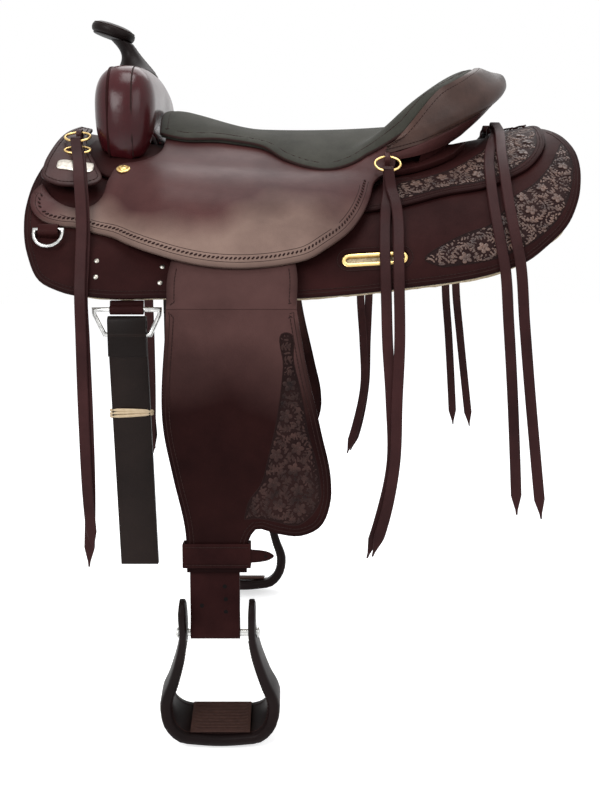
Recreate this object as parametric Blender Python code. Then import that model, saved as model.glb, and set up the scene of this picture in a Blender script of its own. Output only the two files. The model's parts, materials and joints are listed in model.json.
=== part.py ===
"""Western draft trail saddle, built as separate pieces around the horse's back.

The model is in metres, +Z up, with the horse's head towards -X and its near (left) side towards -Y.
The dimensions below are in millimetres, and finish_mesh turns them into metres in one place.
The origin lies on the ridge of the horse's back, below the middle of the seat.
"""
from math import asin, cos, pi, radians, sin

import bmesh
import bpy
from mathutils import Matrix, Vector
from mathutils.geometry import delaunay_2d_cdt

MM = 0.001
SIDES = (("left", -1), ("right", 1))

# Horse's back: an arc across, centred a little beyond the middle, and a gentle rock along the spine
BACK_RADIUS = 300.0
BACK_PEAK = 18.0
BACK_HEIGHT = 12.0
BACK_ROCK = 0.00031

# Layers, counted outwards from the horse
FLEECE = 12.0
SKIRT = 4.6
LAYER_GAP = 0.6
FLEECE_GAP = 0.9
SEAT_LEATHER = 4.0
GROUND_SEAT = 2.0
BAR_RISE = 13.0
REAR_JOCKEY = 4.0
FRONT_JOCKEY = 4.0
PAD_EDGE = 5.2
PAD_CROWN = 6.0
RIG_PLATE = 3.0

SKIRT_INNER = FLEECE + FLEECE_GAP
SKIRT_OUTER = SKIRT_INNER + SKIRT
ON_SKIRT = SKIRT_OUTER + LAYER_GAP
ON_REAR_JOCKEY = ON_SKIRT + LAYER_GAP + REAR_JOCKEY
ON_BARS = ON_SKIRT + BAR_RISE - GROUND_SEAT - FLEECE_GAP - LAYER_GAP

# Seat
SEAT_FRONT_RISE = 18.0
CANTLE_RISE = 66.0
CANTLE_X = 236.0
CANTLE_RUN = 108.0
CANTLE_CREST_X = 242.0
CANTLE_END = 0.86
CANTLE_STATIONS = 10

# Fork and horn
FORK_X = -226.0
FORK_HALF_LENGTH = 39.0
FORK_HALF_WIDTH = 150.0
FORK_TOP = 141.0
FORK_COVER = 3.0
FORK_FOOT_HALF = 115.0
HORN_CAP_RADIUS = 30.0
HORN_CAP_THICK = 12.0
HORN_TILT = 18.0
HORN_CAP_X = -254.0
HORN_CAP_Z = 198.0
HORN_NECK_RADIUS = 12.5
HORN_WRAP = 4.0
HORN_NECK_SET_BACK = 16.0

# Fenders and stirrup leathers
LEATHER_SLOPE = 58.0
LEATHER_X = -103.0
LEATHER_WIDTH = 60.0
LEATHER = 6.0
LEATHER_LIFT = 2.5
FENDER = 4.5
SWING_X = -78.0
SWING_RISE = 36.0
BEND_Z = -168.0
HANG_ANGLE = 88.0
STRAP_GAP = 0.4

# Stirrups
BOLT_Z = -556.0
BOLT_RADIUS = 4.0
STIRRUP_BOTTOM_Z = -709.0
STIRRUP_LEAN = 16.0
STIRRUP_SHIFT = 3.0
STIRRUP_HALF_WIDTH = 75.0
STIRRUP_EAR_HALF = 42.0
STIRRUP_EAR_RISE = 44.0
STIRRUP_THICK = 15.0
TREAD_DEPTH = 66.0
EAR_DEPTH = 34.0

# Rigging, strings and rings
LATIGO_WIDTH = 46.0
LATIGO = 4.0
LATIGO_LEAN = 0.028
LATIGO_END_Z = -480.0
BILLET_END_Z = -452.0
DEE_X = -206.0
SKIRT_DROP = 335.0
DEE_ACROSS = SKIRT_DROP + 8.0
DEE_WIDTH = 78.0
DEE_DROP = 30.0
DEE_WIRE = 2.8
CHAPE_WIDTH = 40.0
BREAST_DEE_X = -300.0
BREAST_DEE_ACROSS = 268.0
BREAST_DEE_WIDTH = 34.0
FRONT_RING_X = -283.0
FRONT_RING_ACROSS = 112.0
MIDDLE_RING_X = 110.0
MIDDLE_RING_ACROSS = 140.0
REAR_STAPLE_X = 266.0
REAR_STAPLE_ACROSS = 26.0
RING_RADIUS = 13.0
RING_HALF_WIDTH = 16.0
RING_WIRE = 2.2
STAPLE_HEIGHT = 7.0
RING_LIFT = 7.8
STRING_WIDTH = 13.0
STRING = 2.6


# Materials

def material(name, rgb, roughness, metallic=0.0):
    """Principled material with one colour."""
    made = bpy.data.materials.new(name)
    made.use_nodes = True
    shader = made.node_tree.nodes["Principled BSDF"]
    shader.inputs["Base Color"].default_value = (*rgb, 1.0)
    shader.inputs["Roughness"].default_value = roughness
    shader.inputs["Metallic"].default_value = metallic
    return made


# Curves and fields

def smooth_step(value):
    """0 below 0, 1 above 1, and smooth between."""
    clipped = min(max(value, 0.0), 1.0)
    return clipped * clipped * (3.0 - 2.0 * clipped)


def bell(value):
    """1 at 0, 0 from 1 on, and smooth between."""
    return 1.0 - smooth_step(abs(value))


def smooth_run(points, step):
    """Points about a step apart on the smooth curve through a few chosen points."""
    pts = [Vector(p) for p in points]
    last = len(pts) - 1
    slopes = []
    for i, point in enumerate(pts):
        before = pts[max(i - 1, 0)]
        after = pts[min(i + 1, last)]
        back = max((point - before).length, 1e-6)
        ahead = max((after - point).length, 1e-6)
        if i in (0, last):
            slopes.append((after - before).normalized())
        else:
            lean = (point - before) / back * ahead + (after - point) / ahead * back
            slopes.append(lean / (back + ahead))
    run = []
    for i in range(last):
        span = (pts[i + 1] - pts[i]).length
        count = max(1, round(span / step))
        for k in range(count):
            t = k / count
            a = 2 * t**3 - 3 * t**2 + 1
            b = t**3 - 2 * t**2 + t
            c = 3 * t**2 - 2 * t**3
            d = t**3 - t**2
            run.append(pts[i] * a + slopes[i] * (b * span) + pts[i + 1] * c + slopes[i + 1] * (d * span))
    run.append(pts[-1])
    return run


def outline(runs, step):
    """Closed outline from smooth runs that meet at corners."""
    loop = []
    for run in runs:
        loop += smooth_run(run, step)[:-1]
    return loop


def mirrored_outline(runs, step, tail=()):
    """Outline of a piece that covers both sides, from the runs of one side, centre line to centre line."""
    half = []
    for run in runs:
        half += smooth_run(run, step)[:-1]
    half += [Vector(p) for p in tail or (runs[-1][-1],)]
    half[0].y = 0.0
    half[-1].y = 0.0
    return half + [Vector((p.x, -p.y)) for p in reversed(half[1:-1])]


# Surfaces: each turns two flat coordinates and an offset into a point in millimetres

def spine_height(x):
    """Height of the back's ridge line at x."""
    return BACK_HEIGHT + BACK_ROCK * x * x


def on_back(x, across, offset):
    """Point at a distance across the back, measured on its arc, and lifted off it by an offset."""
    side = -1.0 if across < 0.0 else 1.0
    reach = BACK_RADIUS + offset
    angle = abs(across) / BACK_RADIUS + asin(BACK_PEAK / reach)
    y = side * (reach * sin(angle) - BACK_PEAK)
    return Vector((x, y, spine_height(x) - BACK_RADIUS + reach * cos(angle)))


class Slope:
    """Flat plane beside the skirt in which the stirrup leather and the top of the fender hang."""

    def __init__(self, side):
        angle = radians(LEATHER_SLOPE)
        self.side = side
        self.out = Vector((0.0, side * sin(angle), cos(angle)))
        self.down = Vector((0.0, side * cos(angle), -sin(angle)))
        reach = BACK_RADIUS + ON_SKIRT + LEATHER_LIFT
        self.start = Vector((0.0, side * (reach * sin(angle) - BACK_PEAK),
                             spine_height(SWING_X) - BACK_RADIUS + reach * cos(angle)))
        self.length = (self.start.z - BEND_Z) / sin(angle)

    def at(self, x, down, offset):
        """Point in the plane, down from the tangent line, with an offset outwards."""
        return self.start + Vector((x, 0.0, 0.0)) + self.down * down + self.out * offset


class Hanging:
    """Nearly upright plane below the bend, in which the fender hangs."""

    def __init__(self, slope):
        angle = radians(HANG_ANGLE)
        side = slope.side
        self.out = Vector((0.0, side * sin(angle), cos(angle)))
        self.down = Vector((0.0, side * cos(angle), -sin(angle)))
        self.hinge = slope.at(0.0, slope.length, LEATHER + STRAP_GAP + FENDER)

    def at(self, x, z, offset):
        """Point at a height z, with an offset outwards from the plane of the fender's outer face."""
        down = (self.hinge.z - z) / sin(radians(HANG_ANGLE))
        return self.hinge + Vector((x, 0.0, 0.0)) + self.down * down + self.out * offset


# Fields: offsets from the back of what lies on the tree

def cantle_crest(across):
    """Where the crest of the cantle's dish stands at a distance across the seat."""
    return CANTLE_CREST_X - 0.17 * abs(across) ** 1.3


def cantle_rise(x, across):
    """How far the seat sweeps up towards the crest of the cantle."""
    rise = CANTLE_RISE * (1.0 - smooth_step((abs(across) - 95.0) / 55.0))
    return rise * bell(min(x - cantle_crest(across), 0.0) / CANTLE_RUN)


def seat_lift(x, across):
    """Underside of the seat leather."""
    wide = abs(across)
    level = ON_SKIRT + 4.8 * smooth_step((x - 32.0) / 20.0)
    tree = ON_SKIRT + BAR_RISE + 0.7
    tree += SEAT_FRONT_RISE * smooth_step((-50.0 - x) / 125.0) * bell(wide / 110.0)
    tree += cantle_rise(x, across)
    seat = level + (tree - level) * (1.0 - smooth_step((wide - 150.0) / 75.0))
    reach = BACK_RADIUS + ON_SKIRT + LEATHER_LIFT + LEATHER + STRAP_GAP + FENDER + 1.6
    angle = wide / BACK_RADIUS + asin(BACK_PEAK / reach) - radians(LEATHER_SLOPE)
    over_leather = reach / cos(min(abs(angle), 0.28)) - BACK_RADIUS
    span = 1.0 - smooth_step((abs(x - SWING_X) - 88.0) / 46.0)
    reach_in = smooth_step((wide - 175.0) / 50.0)
    return seat + max(over_leather - seat, 0.0) * span * reach_in


def pad_top(x, across):
    """Top of the seat pad, thinner towards its edge."""
    middle = 1.0 - smooth_step((abs(across) - 40.0) / 110.0)
    return seat_lift(x, across) + SEAT_LEATHER + PAD_EDGE + PAD_CROWN * middle


# Mesh tools

def finish_mesh(name, data, finish, origin=(0.0, 0.0, 0.0), sharp=40.0):
    """Make an object from a bmesh in millimetres, with its origin at a point in millimetres."""
    bmesh.ops.remove_doubles(data, verts=data.verts[:], dist=0.05)
    bmesh.ops.recalc_face_normals(data, faces=data.faces[:])
    start = Vector(origin)
    for vert in data.verts:
        vert.co = (vert.co - start) * MM
    mesh = bpy.data.meshes.new(name)
    data.to_mesh(mesh)
    data.free()
    mesh.shade_smooth()
    mesh.set_sharp_from_angle(angle=radians(sharp))
    mesh.materials.append(finish)
    made = bpy.data.objects.new(name, mesh)
    made.location = start * MM
    bpy.context.collection.objects.link(made)
    return made


def inside(point, loop):
    """Whether a flat point lies inside a closed loop."""
    odd = False
    for a, b in zip(loop, loop[1:] + loop[:1]):
        if (a.y > point.y) != (b.y > point.y):
            if point.x < a.x + (b.x - a.x) * (point.y - a.y) / (b.y - a.y):
                odd = not odd
    return odd


def flat_triangles(loops, spacing):
    """Triangles that fill the first loop and leave out the others, on one shared lattice of points."""
    step_x, step_y = spacing
    outer = loops[0]
    points = [p for loop in loops for p in loop]
    edges = []
    start = 0
    for loop in loops:
        count = len(loop)
        edges += [(start + i, start + (i + 1) % count) for i in range(count)]
        start += count
    low_x = min(p.x for p in outer)
    high_x = max(p.x for p in outer)
    low_y = min(p.y for p in outer)
    high_y = max(p.y for p in outer)
    clear = 0.45 * min(step_x, step_y)
    border = list(points)
    for row in range(int(low_y // step_y), int(high_y // step_y) + 2):
        for col in range(int(low_x // step_x) - 1, int(high_x // step_x) + 2):
            point = Vector(((col + 0.5 * (row % 2)) * step_x, row * step_y))
            if not inside(point, outer) or any(inside(point, hole) for hole in loops[1:]):
                continue
            if min((point - p).length_squared for p in border) > clear * clear:
                points.append(point)
    verts, _, faces, *_ = delaunay_2d_cdt(points, edges, [], 0, 1e-4)
    kept = []
    for face in faces:
        middle = sum((verts[i] for i in face), Vector((0.0, 0.0))) / len(face)
        if inside(middle, outer) and not any(inside(middle, hole) for hole in loops[1:]):
            kept.append(tuple(face))
    return verts, kept


def plate(data, loops, surface, outer, inner, spacing):
    """Add a closed sheet to a bmesh: the loops filled on a surface, between two offset fields."""
    flat, faces = flat_triangles(loops, spacing)
    used = sorted({i for face in faces for i in face})
    top = {i: data.verts.new(surface(flat[i].x, flat[i].y, outer(flat[i].x, flat[i].y))) for i in used}
    low = {i: data.verts.new(surface(flat[i].x, flat[i].y, inner(flat[i].x, flat[i].y))) for i in used}
    count = {}
    for face in faces:
        data.faces.new([top[i] for i in face])
        data.faces.new([low[i] for i in reversed(face)])
        for a, b in zip(face, face[1:] + face[:1]):
            count[frozenset((a, b))] = count.get(frozenset((a, b)), []) + [(a, b)]
    for sides in count.values():
        if len(sides) == 1:
            a, b = sides[0]
            data.faces.new((top[b], top[a], low[a], low[b]))


def level_field(value):
    """Offset field that is the same everywhere."""
    return lambda x, across: value


def sided(side):
    """The back's surface for a piece on one side, whose outline is given with positive distances."""
    return lambda x, across, offset: on_back(x, side * across, offset)


def loft(data, rings, capped=True):
    """Add a closed body through rings of equally many points."""
    rows = [[data.verts.new(p) for p in ring] for ring in rings]
    count = len(rows[0])
    for a, b in zip(rows, rows[1:]):
        for i in range(count):
            j = (i + 1) % count
            data.faces.new((a[i], a[j], b[j]))
            data.faces.new((a[i], b[j], b[i]))
    if capped:
        data.faces.new(list(reversed(rows[0])))
        data.faces.new(rows[-1])
    else:
        for i in range(count):
            j = (i + 1) % count
            data.faces.new((rows[-1][i], rows[-1][j], rows[0][j]))
            data.faces.new((rows[-1][i], rows[0][j], rows[0][i]))


def ring_points(centre, first, second, radii, count, turn=0.0):
    """Points round an ellipse in the plane of two directions."""
    points = []
    for i in range(count):
        angle = turn + 2.0 * pi * i / count
        points.append(centre + first * (radii[0] * cos(angle)) + second * (radii[1] * sin(angle)))
    return points


def rod(data, start, end, radius, count=12):
    """Add a plain round rod."""
    along = (end - start).normalized()
    first = along.orthogonal().normalized()
    second = along.cross(first)
    loft(data, [ring_points(p, first, second, (radius, radius), count) for p in (start, end)])


def wire(data, path, radius, count=8, closed=False, normal=None):
    """Add a round wire along a flat path, mitred at its corners."""
    rings = []
    total = len(path)
    for i, point in enumerate(path):
        before = path[(i - 1) % total] if closed or i else point
        after = path[(i + 1) % total] if closed or i < total - 1 else point
        into = (point - before).normalized() if i or closed else (after - point).normalized()
        out = (after - point).normalized() if i < total - 1 or closed else into
        along = (into + out).normalized()
        second = (normal - along * normal.dot(along)).normalized()
        first = along.cross(second)
        widen = 1.0 / max(along.dot(into), 0.5)
        rings.append(ring_points(point, first, second, (radius * widen, radius), count))
    loft(data, rings, capped=not closed)


def extrude_flat(data, loops, low, high, surface):
    """Add a prism: a flat shape with holes, carried by a surface function between two offsets."""
    flat, faces = flat_triangles(loops, (1e6, 1e6))
    top = [data.verts.new(surface(p.x, p.y, high)) for p in flat]
    base = [data.verts.new(surface(p.x, p.y, low)) for p in flat]
    count = {}
    for face in faces:
        data.faces.new([top[i] for i in face])
        data.faces.new([base[i] for i in reversed(face)])
        for a, b in zip(face, face[1:] + face[:1]):
            count.setdefault(frozenset((a, b)), []).append((a, b))
    for sides in count.values():
        if len(sides) == 1:
            a, b = sides[0]
            data.faces.new((top[b], top[a], base[a], base[b]))


def slot_outline(centre_x, centre_y, half_length, radius, steps=6):
    """Slot with round ends."""
    loop = []
    for end in (1, -1):
        for i in range(steps + 1):
            angle = -pi / 2 + pi * i / steps if end == 1 else pi / 2 + pi * i / steps
            x = centre_x + end * (half_length - radius) + radius * cos(angle)
            loop.append(Vector((x, centre_y + radius * sin(angle))))
    return loop


# Skirts, fleece, tree bars and ground seat

SKIRT_GRID = (60.0, 22.0)
SEAT_GRID = (30.0, 20.0)

SKIRT_FRONT_X = -332.0
SKIRT_REAR_X = 351.0
RIG_SLOT_X = 90.0
RIG_SLOT_ACROSS = 274.0
RIG_SLOT_HALF = 40.0
RIG_SLOT_RADIUS = 9.0


def skirt_runs(inset):
    """Outline of one skirt, centre line first, drawn in from its edge by an inset."""
    front = SKIRT_FRONT_X + inset
    rear = SKIRT_REAR_X - inset
    low = SKIRT_DROP - inset
    return (
        ((front + 34, 2), (front + 27, 62), (front + 11, 152), (front + 1, 215), (front, 258),
         (front + 8, 300), (front + 24, low - 6), (front + 48, low + 2), (front + 96, low + 2),
         (-160, low - 7), (0, low - 15), (120, low - 22), (240, low - 30),
         (rear - 80, low - 37), (rear - 54, low - 53), (rear - 30, 262), (rear - 13, 231),
         (rear - 4, 196), (rear, 150), (rear - 5, 100), (rear - 15, 45), (rear - 22, 2)),
        ((rear - 22, 2), (250, 2), (170, 45), (40, 52), (-90, 48), (-190, 40), (-262, 2), (front + 34, 2)),
    )


def skirt_shape(inset, step):
    """Closed outline of one skirt, which stops short of the other at the centre line."""
    return [Vector((p.x, max(p.y, 1.5))) for p in outline(skirt_runs(inset), step)]


def build_skirts(leather, wool, brass):
    """Skirts with a rigging slot, their lining, and the rigging plates that show in the slots."""
    slot = slot_outline(RIG_SLOT_X, RIG_SLOT_ACROSS, RIG_SLOT_HALF, RIG_SLOT_RADIUS)
    for name, side in SIDES:
        data = bmesh.new()
        loops = [skirt_shape(0.0, 19.0), slot]
        plate(data, loops, sided(side), level_field(SKIRT_OUTER), level_field(SKIRT_INNER), SKIRT_GRID)
        skirt = finish_mesh(f"skirt_{name}", data, leather)
        foot, down, out = surface_axes(BREAST_DEE_X, side * BREAST_DEE_ACROSS, level_field(SKIRT_OUTER))
        fuse_staple(skirt, foot, down, out, BREAST_DEE_WIDTH * 0.35, leather)
        data = bmesh.new()
        plate(data, [skirt_shape(4.0, 24.0)], sided(side), level_field(FLEECE), level_field(0.0), SKIRT_GRID)
        finish_mesh(f"fleece_lining_{name}", data, wool)
        data = bmesh.new()
        loops = [
            slot_outline(RIG_SLOT_X, RIG_SLOT_ACROSS, RIG_SLOT_HALF - STRAP_GAP, RIG_SLOT_RADIUS - STRAP_GAP),
            slot_outline(RIG_SLOT_X, RIG_SLOT_ACROSS, RIG_SLOT_HALF - 5.0, 4.0),
        ]
        extrude_flat(data, loops, SKIRT_INNER, SKIRT_INNER + RIG_PLATE, sided(side))
        finish_mesh(f"rear_rig_plate_{name}", data, brass)


def build_tree_bars(wood):
    """The two bars of the tree, which carry the fork, the cantle and the rider."""
    runs = (
        ((-262, 70), (-272, 110), (-262, 158), (-225, 172), (-170, 168), (-90, 150), (0, 144), (90, 142),
         (150, 134), (200, 106), (220, 70)),
        ((220, 70), (150, 58), (20, 62), (-110, 58), (-200, 60), (-262, 70)),
    )
    for name, side in SIDES:
        data = bmesh.new()
        plate(data, [outline(runs, 20.0)], sided(side), bar_top, level_field(ON_SKIRT + LAYER_GAP),
              (44.0, 22.0))
        finish_mesh(f"tree_bar_{name}", data, wood)


def bar_top(x, across):
    """Upper face of a bar, rounded off towards its edges."""
    middle = 108.0
    crown = 1.0 - 0.45 * smooth_step((abs(across - middle) - 22.0) / 40.0)
    return ON_SKIRT + (ON_BARS - ON_SKIRT) * crown


def build_ground_seat(metal):
    """Strainer that bridges the bars and gives the seat its shape."""
    runs = (
        ((-176, 0), (-178, 40), (-176, 84)),
        ((-176, 84), (-100, 96), (0, 104), (40, 100)),
        ((40, 100), (76, 50), (96, 0)),
    )
    data = bmesh.new()
    plate(data, [mirrored_outline(runs, 16.0)], on_back,
          lambda x, w: seat_lift(x, w) - FLEECE_GAP,
          lambda x, w: seat_lift(x, w) - FLEECE_GAP - GROUND_SEAT, SEAT_GRID)
    finish_mesh("ground_seat", data, metal)


# Seat leather, pad and jockeys

def seat_top(x, across):
    """Outer face of the seat leather."""
    return seat_lift(x, across) + SEAT_LEATHER


def build_seat_leather(leather):
    """Seat leather with both seat jockeys in one piece, cut out round the fork and under the cantle."""
    runs = (
        ((-180, 0), (-180, 50), (-177, 84), (-182, 122), (-204, 148), (-226, 160), (-238, 186)),
        ((-238, 186), (-243, 208), (-256, 224), (-279, 230), (-302, 220), (-316, 203)),
        ((-316, 203), (-327, 222), (-324, 243), (-310, 256), (-289, 259), (-268, 257), (-248, 260),
         (-226, 264), (-207, 273), (-181, 283), (-140, 292), (-95, 296), (-49, 294), (-15, 289),
         (12, 282), (35, 267), (58, 249), (74, 227), (86, 198), (94, 170), (106, 158), (118, 149),
         (122, 134)),
        ((122, 134), (127, 112), (144, 80), (164, 40), (172, 0)),
    )
    data = bmesh.new()
    plate(data, [mirrored_outline(runs, 14.0)], on_back,
          lambda x, w: seat_lift(x, w) + SEAT_LEATHER, seat_lift, SEAT_GRID)
    seat = finish_mesh("seat_leather", data, leather)
    for _, side in SIDES:
        foot, down, out = surface_axes(MIDDLE_RING_X, side * MIDDLE_RING_ACROSS, seat_top)
        fuse_staple(seat, foot, down, out, 3.4, leather)


def pad_base(x, across):
    """Underside of the pad, with more room where the seat sweeps up."""
    return seat_top(x, across) + 3.8 * LAYER_GAP + 2.4 * smooth_step(cantle_rise(x, across) / 14.0)


def build_seat_pad(suede):
    """Padded seat with a crown, drawn in at its edge, up to the crest of the cantle."""
    runs = (
        ((-184, 0), (-185, 45), (-183, 80)),
        ((-183, 80), (-155, 85), (-98, 75), (-54, 85), (-17, 124), (13, 141), (32, 146), (61, 139),
         (84, 129)),
        ((84, 129), seam_across(CANTLE_END)),
    )
    seam = [seam_across(CANTLE_END * i / CANTLE_STATIONS) for i in range(CANTLE_STATIONS, -1, -1)]
    loop = mirrored_outline(runs, 13.0, seam)
    data = bmesh.new()
    plate(data, [loop], on_back, pad_top, pad_base, SEAT_GRID)
    finish_mesh("seat_pad", data, suede)


def build_jockeys(leather):
    """Rear jockeys, which meet behind the cantle, and the front jockeys over the front of the seat."""
    rear = (
        ((62, 210), (127, 202), (181, 190), (238, 185), (264, 175), (284, 165), (304, 142), (317, 112),
         (322, 80), (325, 30), (324, 2)),
        ((324, 2), (262, 2)),
        ((262, 2), (246, 55), (228, 92), (190, 126), (150, 144), (100, 152), (62, 178)),
        ((62, 178), (62, 210)),
    )
    front = (
        ((-292, 62), (-304, 105), (-312, 150), (-316, 185), (-315, 203), (-298, 210), (-277, 208),
         (-256, 202), (-245, 192), (-256, 162), (-271, 130), (-276, 64)),
        ((-276, 64), (-292, 62)),
    )
    for name, side in SIDES:
        data = bmesh.new()
        plate(data, [outline(rear, 16.0)], sided(side), level_field(ON_REAR_JOCKEY),
              level_field(ON_REAR_JOCKEY - REAR_JOCKEY), (44.0, 23.0))
        jockey = finish_mesh(f"rear_jockey_{name}", data, leather)
        foot, _, out = surface_axes(REAR_STAPLE_X, side * REAR_STAPLE_ACROSS, level_field(ON_REAR_JOCKEY))
        fuse_staple(jockey, foot, Vector((1.0, 0.0, 0.0)), out, 2.4, leather, span=9.5)
        data = bmesh.new()
        plate(data, [outline(front, 13.0)], sided(side), front_top, front_lift, (30.0, 20.0))
        jockey = finish_mesh(f"front_jockey_{name}", data, leather)
        foot, down, out = surface_axes(FRONT_RING_X, side * FRONT_RING_ACROSS, front_top)
        fuse_staple(jockey, foot, down, out, 3.4, leather)


def front_lift(x, across):
    """Underside of a front jockey, which lies over the end of a bar and stands proud at its lower edge."""
    return ON_SKIRT + BAR_RISE - 1.6 * smooth_step((110.0 - abs(across)) / 60.0)


def front_top(x, across):
    """Outer face of a front jockey."""
    return front_lift(x, across) + FRONT_JOCKEY


# Cantle

def over_back(x, y, offset):
    """Height of the surface at an offset from the back, above a place in plan."""
    reach = BACK_RADIUS + offset
    return spine_height(x) - BACK_RADIUS + (reach * reach - (abs(y) + BACK_PEAK) ** 2) ** 0.5


def across_at(y, offset):
    """Distance across the back of a point at y and an offset."""
    reach = BACK_RADIUS + offset
    return BACK_RADIUS * (asin((abs(y) + BACK_PEAK) / reach) - asin(BACK_PEAK / reach))


def cantle_plan(share):
    """Place in plan of the cantle's seam, at a share of the way from the centre line to its end."""
    turn = min(share, 1.0) * pi / 2
    return CANTLE_X - 140.0 + 143.0 * max(cos(turn), 0.0) ** 0.9, 148.0 * sin(turn)


def seam_across(share):
    """The seam as x and distance across, just inside the roll."""
    x, y = cantle_plan(share)
    across = across_at(y, 100.0 - 60.0 * share**4)
    return x - 1.1, max(across - 1.1 * share, 0.0)


def cantle_curves(share):
    """Three places round the cantle on the off side: its seam, its outer edge and its foot."""
    turn = share * pi / 2
    x, y = cantle_plan(share)
    across = across_at(y, 100.0 - 60.0 * share**4)
    seam = on_back(x, across, pad_top(x, across) + 0.5)
    edge = Vector((CANTLE_X - 140.0 + 190.0 * cos(turn) ** 1.05, 152.0 * sin(turn), 129.0 - 106.0 * share))
    foot_x = CANTLE_X - 140.0 + 131.0 * cos(turn) ** 0.9
    foot_y = 148.0 * sin(turn)
    foot = Vector((foot_x, foot_y, over_back(foot_x, foot_y, 30.0 + 11.0 * share)))
    return seam, edge, foot


def build_cantle(leather, wood):
    """Tree cantle, the broad roll that covers its crest, and the leather down its back."""
    roll_rings = []
    back_rings = []
    core_rings = []
    wall = 5.0
    back_wall = 3.5
    up = Vector((0.0, 0.0, 1.0))
    for i in range(-CANTLE_STATIONS, CANTLE_STATIONS + 1):
        share = CANTLE_END * abs(i) / CANTLE_STATIONS
        flip = Vector((1.0, -1.0 if i < 0 else 1.0, 1.0))
        seam, edge, foot = cantle_curves(share)
        over = (edge - seam).normalized()
        down = (foot - edge).normalized()
        level = Vector((over.x, over.y, 0.0)).normalized()
        rim = level.cross(up)
        below = rim.cross(over).normalized()
        below = below if below.z < 0 or abs(below.z) < 0.3 and below.x < 0 else -below
        inward = rim.cross(down).normalized()
        inward = inward if inward.dot(seam - foot) > 0 else -inward
        mitre = (below + inward) / (1.0 + below.dot(inward))
        drop = Vector((0.0, -sin(seam.y / BACK_RADIUS), -cos(seam.y / BACK_RADIUS)))
        lip = min(14.0, 0.45 * (foot - edge).length)
        under = edge + down * lip
        bulge = (seam + edge) / 2 - below * 3.0
        roll = [seam, bulge, edge, under, under + inward * wall, edge + mitre * wall, seam + drop * wall]
        top = under + down * 3.0 * LAYER_GAP
        back = [top, foot, foot + inward * back_wall, top + inward * back_wall]
        room = wall + 3.0
        heel = foot + inward * room - down * 3.0
        toe = heel - level * (9.0 - 5.0 * share)
        toe.z = over_back(toe.x, toe.y, ON_BARS) + LAYER_GAP
        shoulder = seam + drop * room + over * 4.0
        core = [shoulder + drop * 5.0, toe, heel, edge + mitre * room, shoulder]
        for rings, section in ((roll_rings, roll), (back_rings, back), (core_rings, core)):
            rings.append([p * flip for p in section])
    for name, rings, finish in (("cantle_roll", roll_rings, leather), ("cantle_back", back_rings, leather),
                                ("tree_cantle", core_rings, wood)):
        data = bmesh.new()
        loft(data, rings[2:-2] if name == "tree_cantle" else rings)
        finish_mesh(name, data, finish)


# Fork and horn

def fork_seat(x, y):
    """Height of the surface that the fork stands on, just over the bars."""
    return over_back(x, y, ON_BARS)


def fork_section(y, inset):
    """Centre and half sizes of the fork's section at a distance across, drawn in by an inset."""
    wide = abs(y)
    end = FORK_HALF_WIDTH - inset
    start = 0.68 * end
    round_off = max(1.0 - max((wide - start) / (end - start), 0.0) ** 2.4, 0.0) ** 0.5
    top = FORK_TOP - 7.0 * (wide / 110.0) ** 2 - inset
    low = fork_seat(FORK_X, wide) + LAYER_GAP
    middle = (top + low) / 2
    return middle, max((FORK_HALF_LENGTH - inset) * round_off, 0.8), max((top - low) / 2 * round_off, 0.8)


def fork_point(y, angle, inset, floor):
    """Point on the fork's rounded section, kept above what carries it."""
    middle, half_x, half_z = fork_section(y, inset)
    across = cos(angle)
    up = sin(angle)
    x = FORK_X + half_x * abs(across) ** 0.8 * (1.0 if across > 0 else -1.0)
    z = middle + half_z * abs(up) ** 0.8 * (1.0 if up > 0 else -1.0)
    return Vector((x, y, max(z, fork_seat(x, y) + floor)))


def fork_stations(end):
    """Distances across at which the fork's sections stand, closer together at its round ends."""
    return [end * sin(pi / 2 * i / 7) for i in range(-7, 8)]


def build_fork(leather, wood):
    """Fork of the tree, and the swell cover, which is open below where it is laced under the fork."""
    steps = 16
    slit = radians(34.0)
    cover = []
    for y in fork_stations(FORK_HALF_WIDTH - 0.8):
        wall = FORK_COVER if abs(y) < FORK_HALF_WIDTH - 8.0 else 0.6 * fork_section(y, 0.0)[1]
        wall = min(wall, 0.8 * fork_section(y, 0.0)[1])
        angles = [-pi / 2 + slit + (2 * pi - 2 * slit) * i / steps for i in range(steps + 1)]
        shell = [fork_point(y, a, 0.0, LAYER_GAP) for a in angles]
        middle = fork_section(y, 0.0)[0]
        for a, point in reversed(list(zip(angles, shell))):
            core = Vector((FORK_X, y, middle))
            lift = core - point
            lining = point + lift.normalized() * min(wall, 0.7 * lift.length)
            lining.z = max(lining.z, fork_seat(lining.x, y) + LAYER_GAP + 0.4)
            shell.append(lining)
        cover.append(shell)
    data = bmesh.new()
    loft(data, cover)
    finish_mesh("swell_cover", data, leather, sharp=50.0)
    inset = FORK_COVER + 5.5
    core = []
    for y in fork_stations(FORK_HALF_WIDTH - inset - 8.0):
        ring = [fork_point(y, 2 * pi * i / 16, inset, LAYER_GAP + 7.5) for i in range(16)]
        for point in ring[11:14]:
            if abs(y) < FORK_FOOT_HALF:
                point.z = fork_seat(point.x, y) + LAYER_GAP
        core.append(ring)
    data = bmesh.new()
    loft(data, core)
    finish_mesh("tree_fork", data, wood, sharp=50.0)


def fork_top(x, y):
    """Height of the swell cover's outer face at a place near its middle."""
    middle, half_x, half_z = fork_section(y, 0.0)
    across = min(abs(x - FORK_X) / half_x, 1.0) ** 1.25
    return middle + half_z * max(1.0 - across * across, 0.0) ** 0.4


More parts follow.
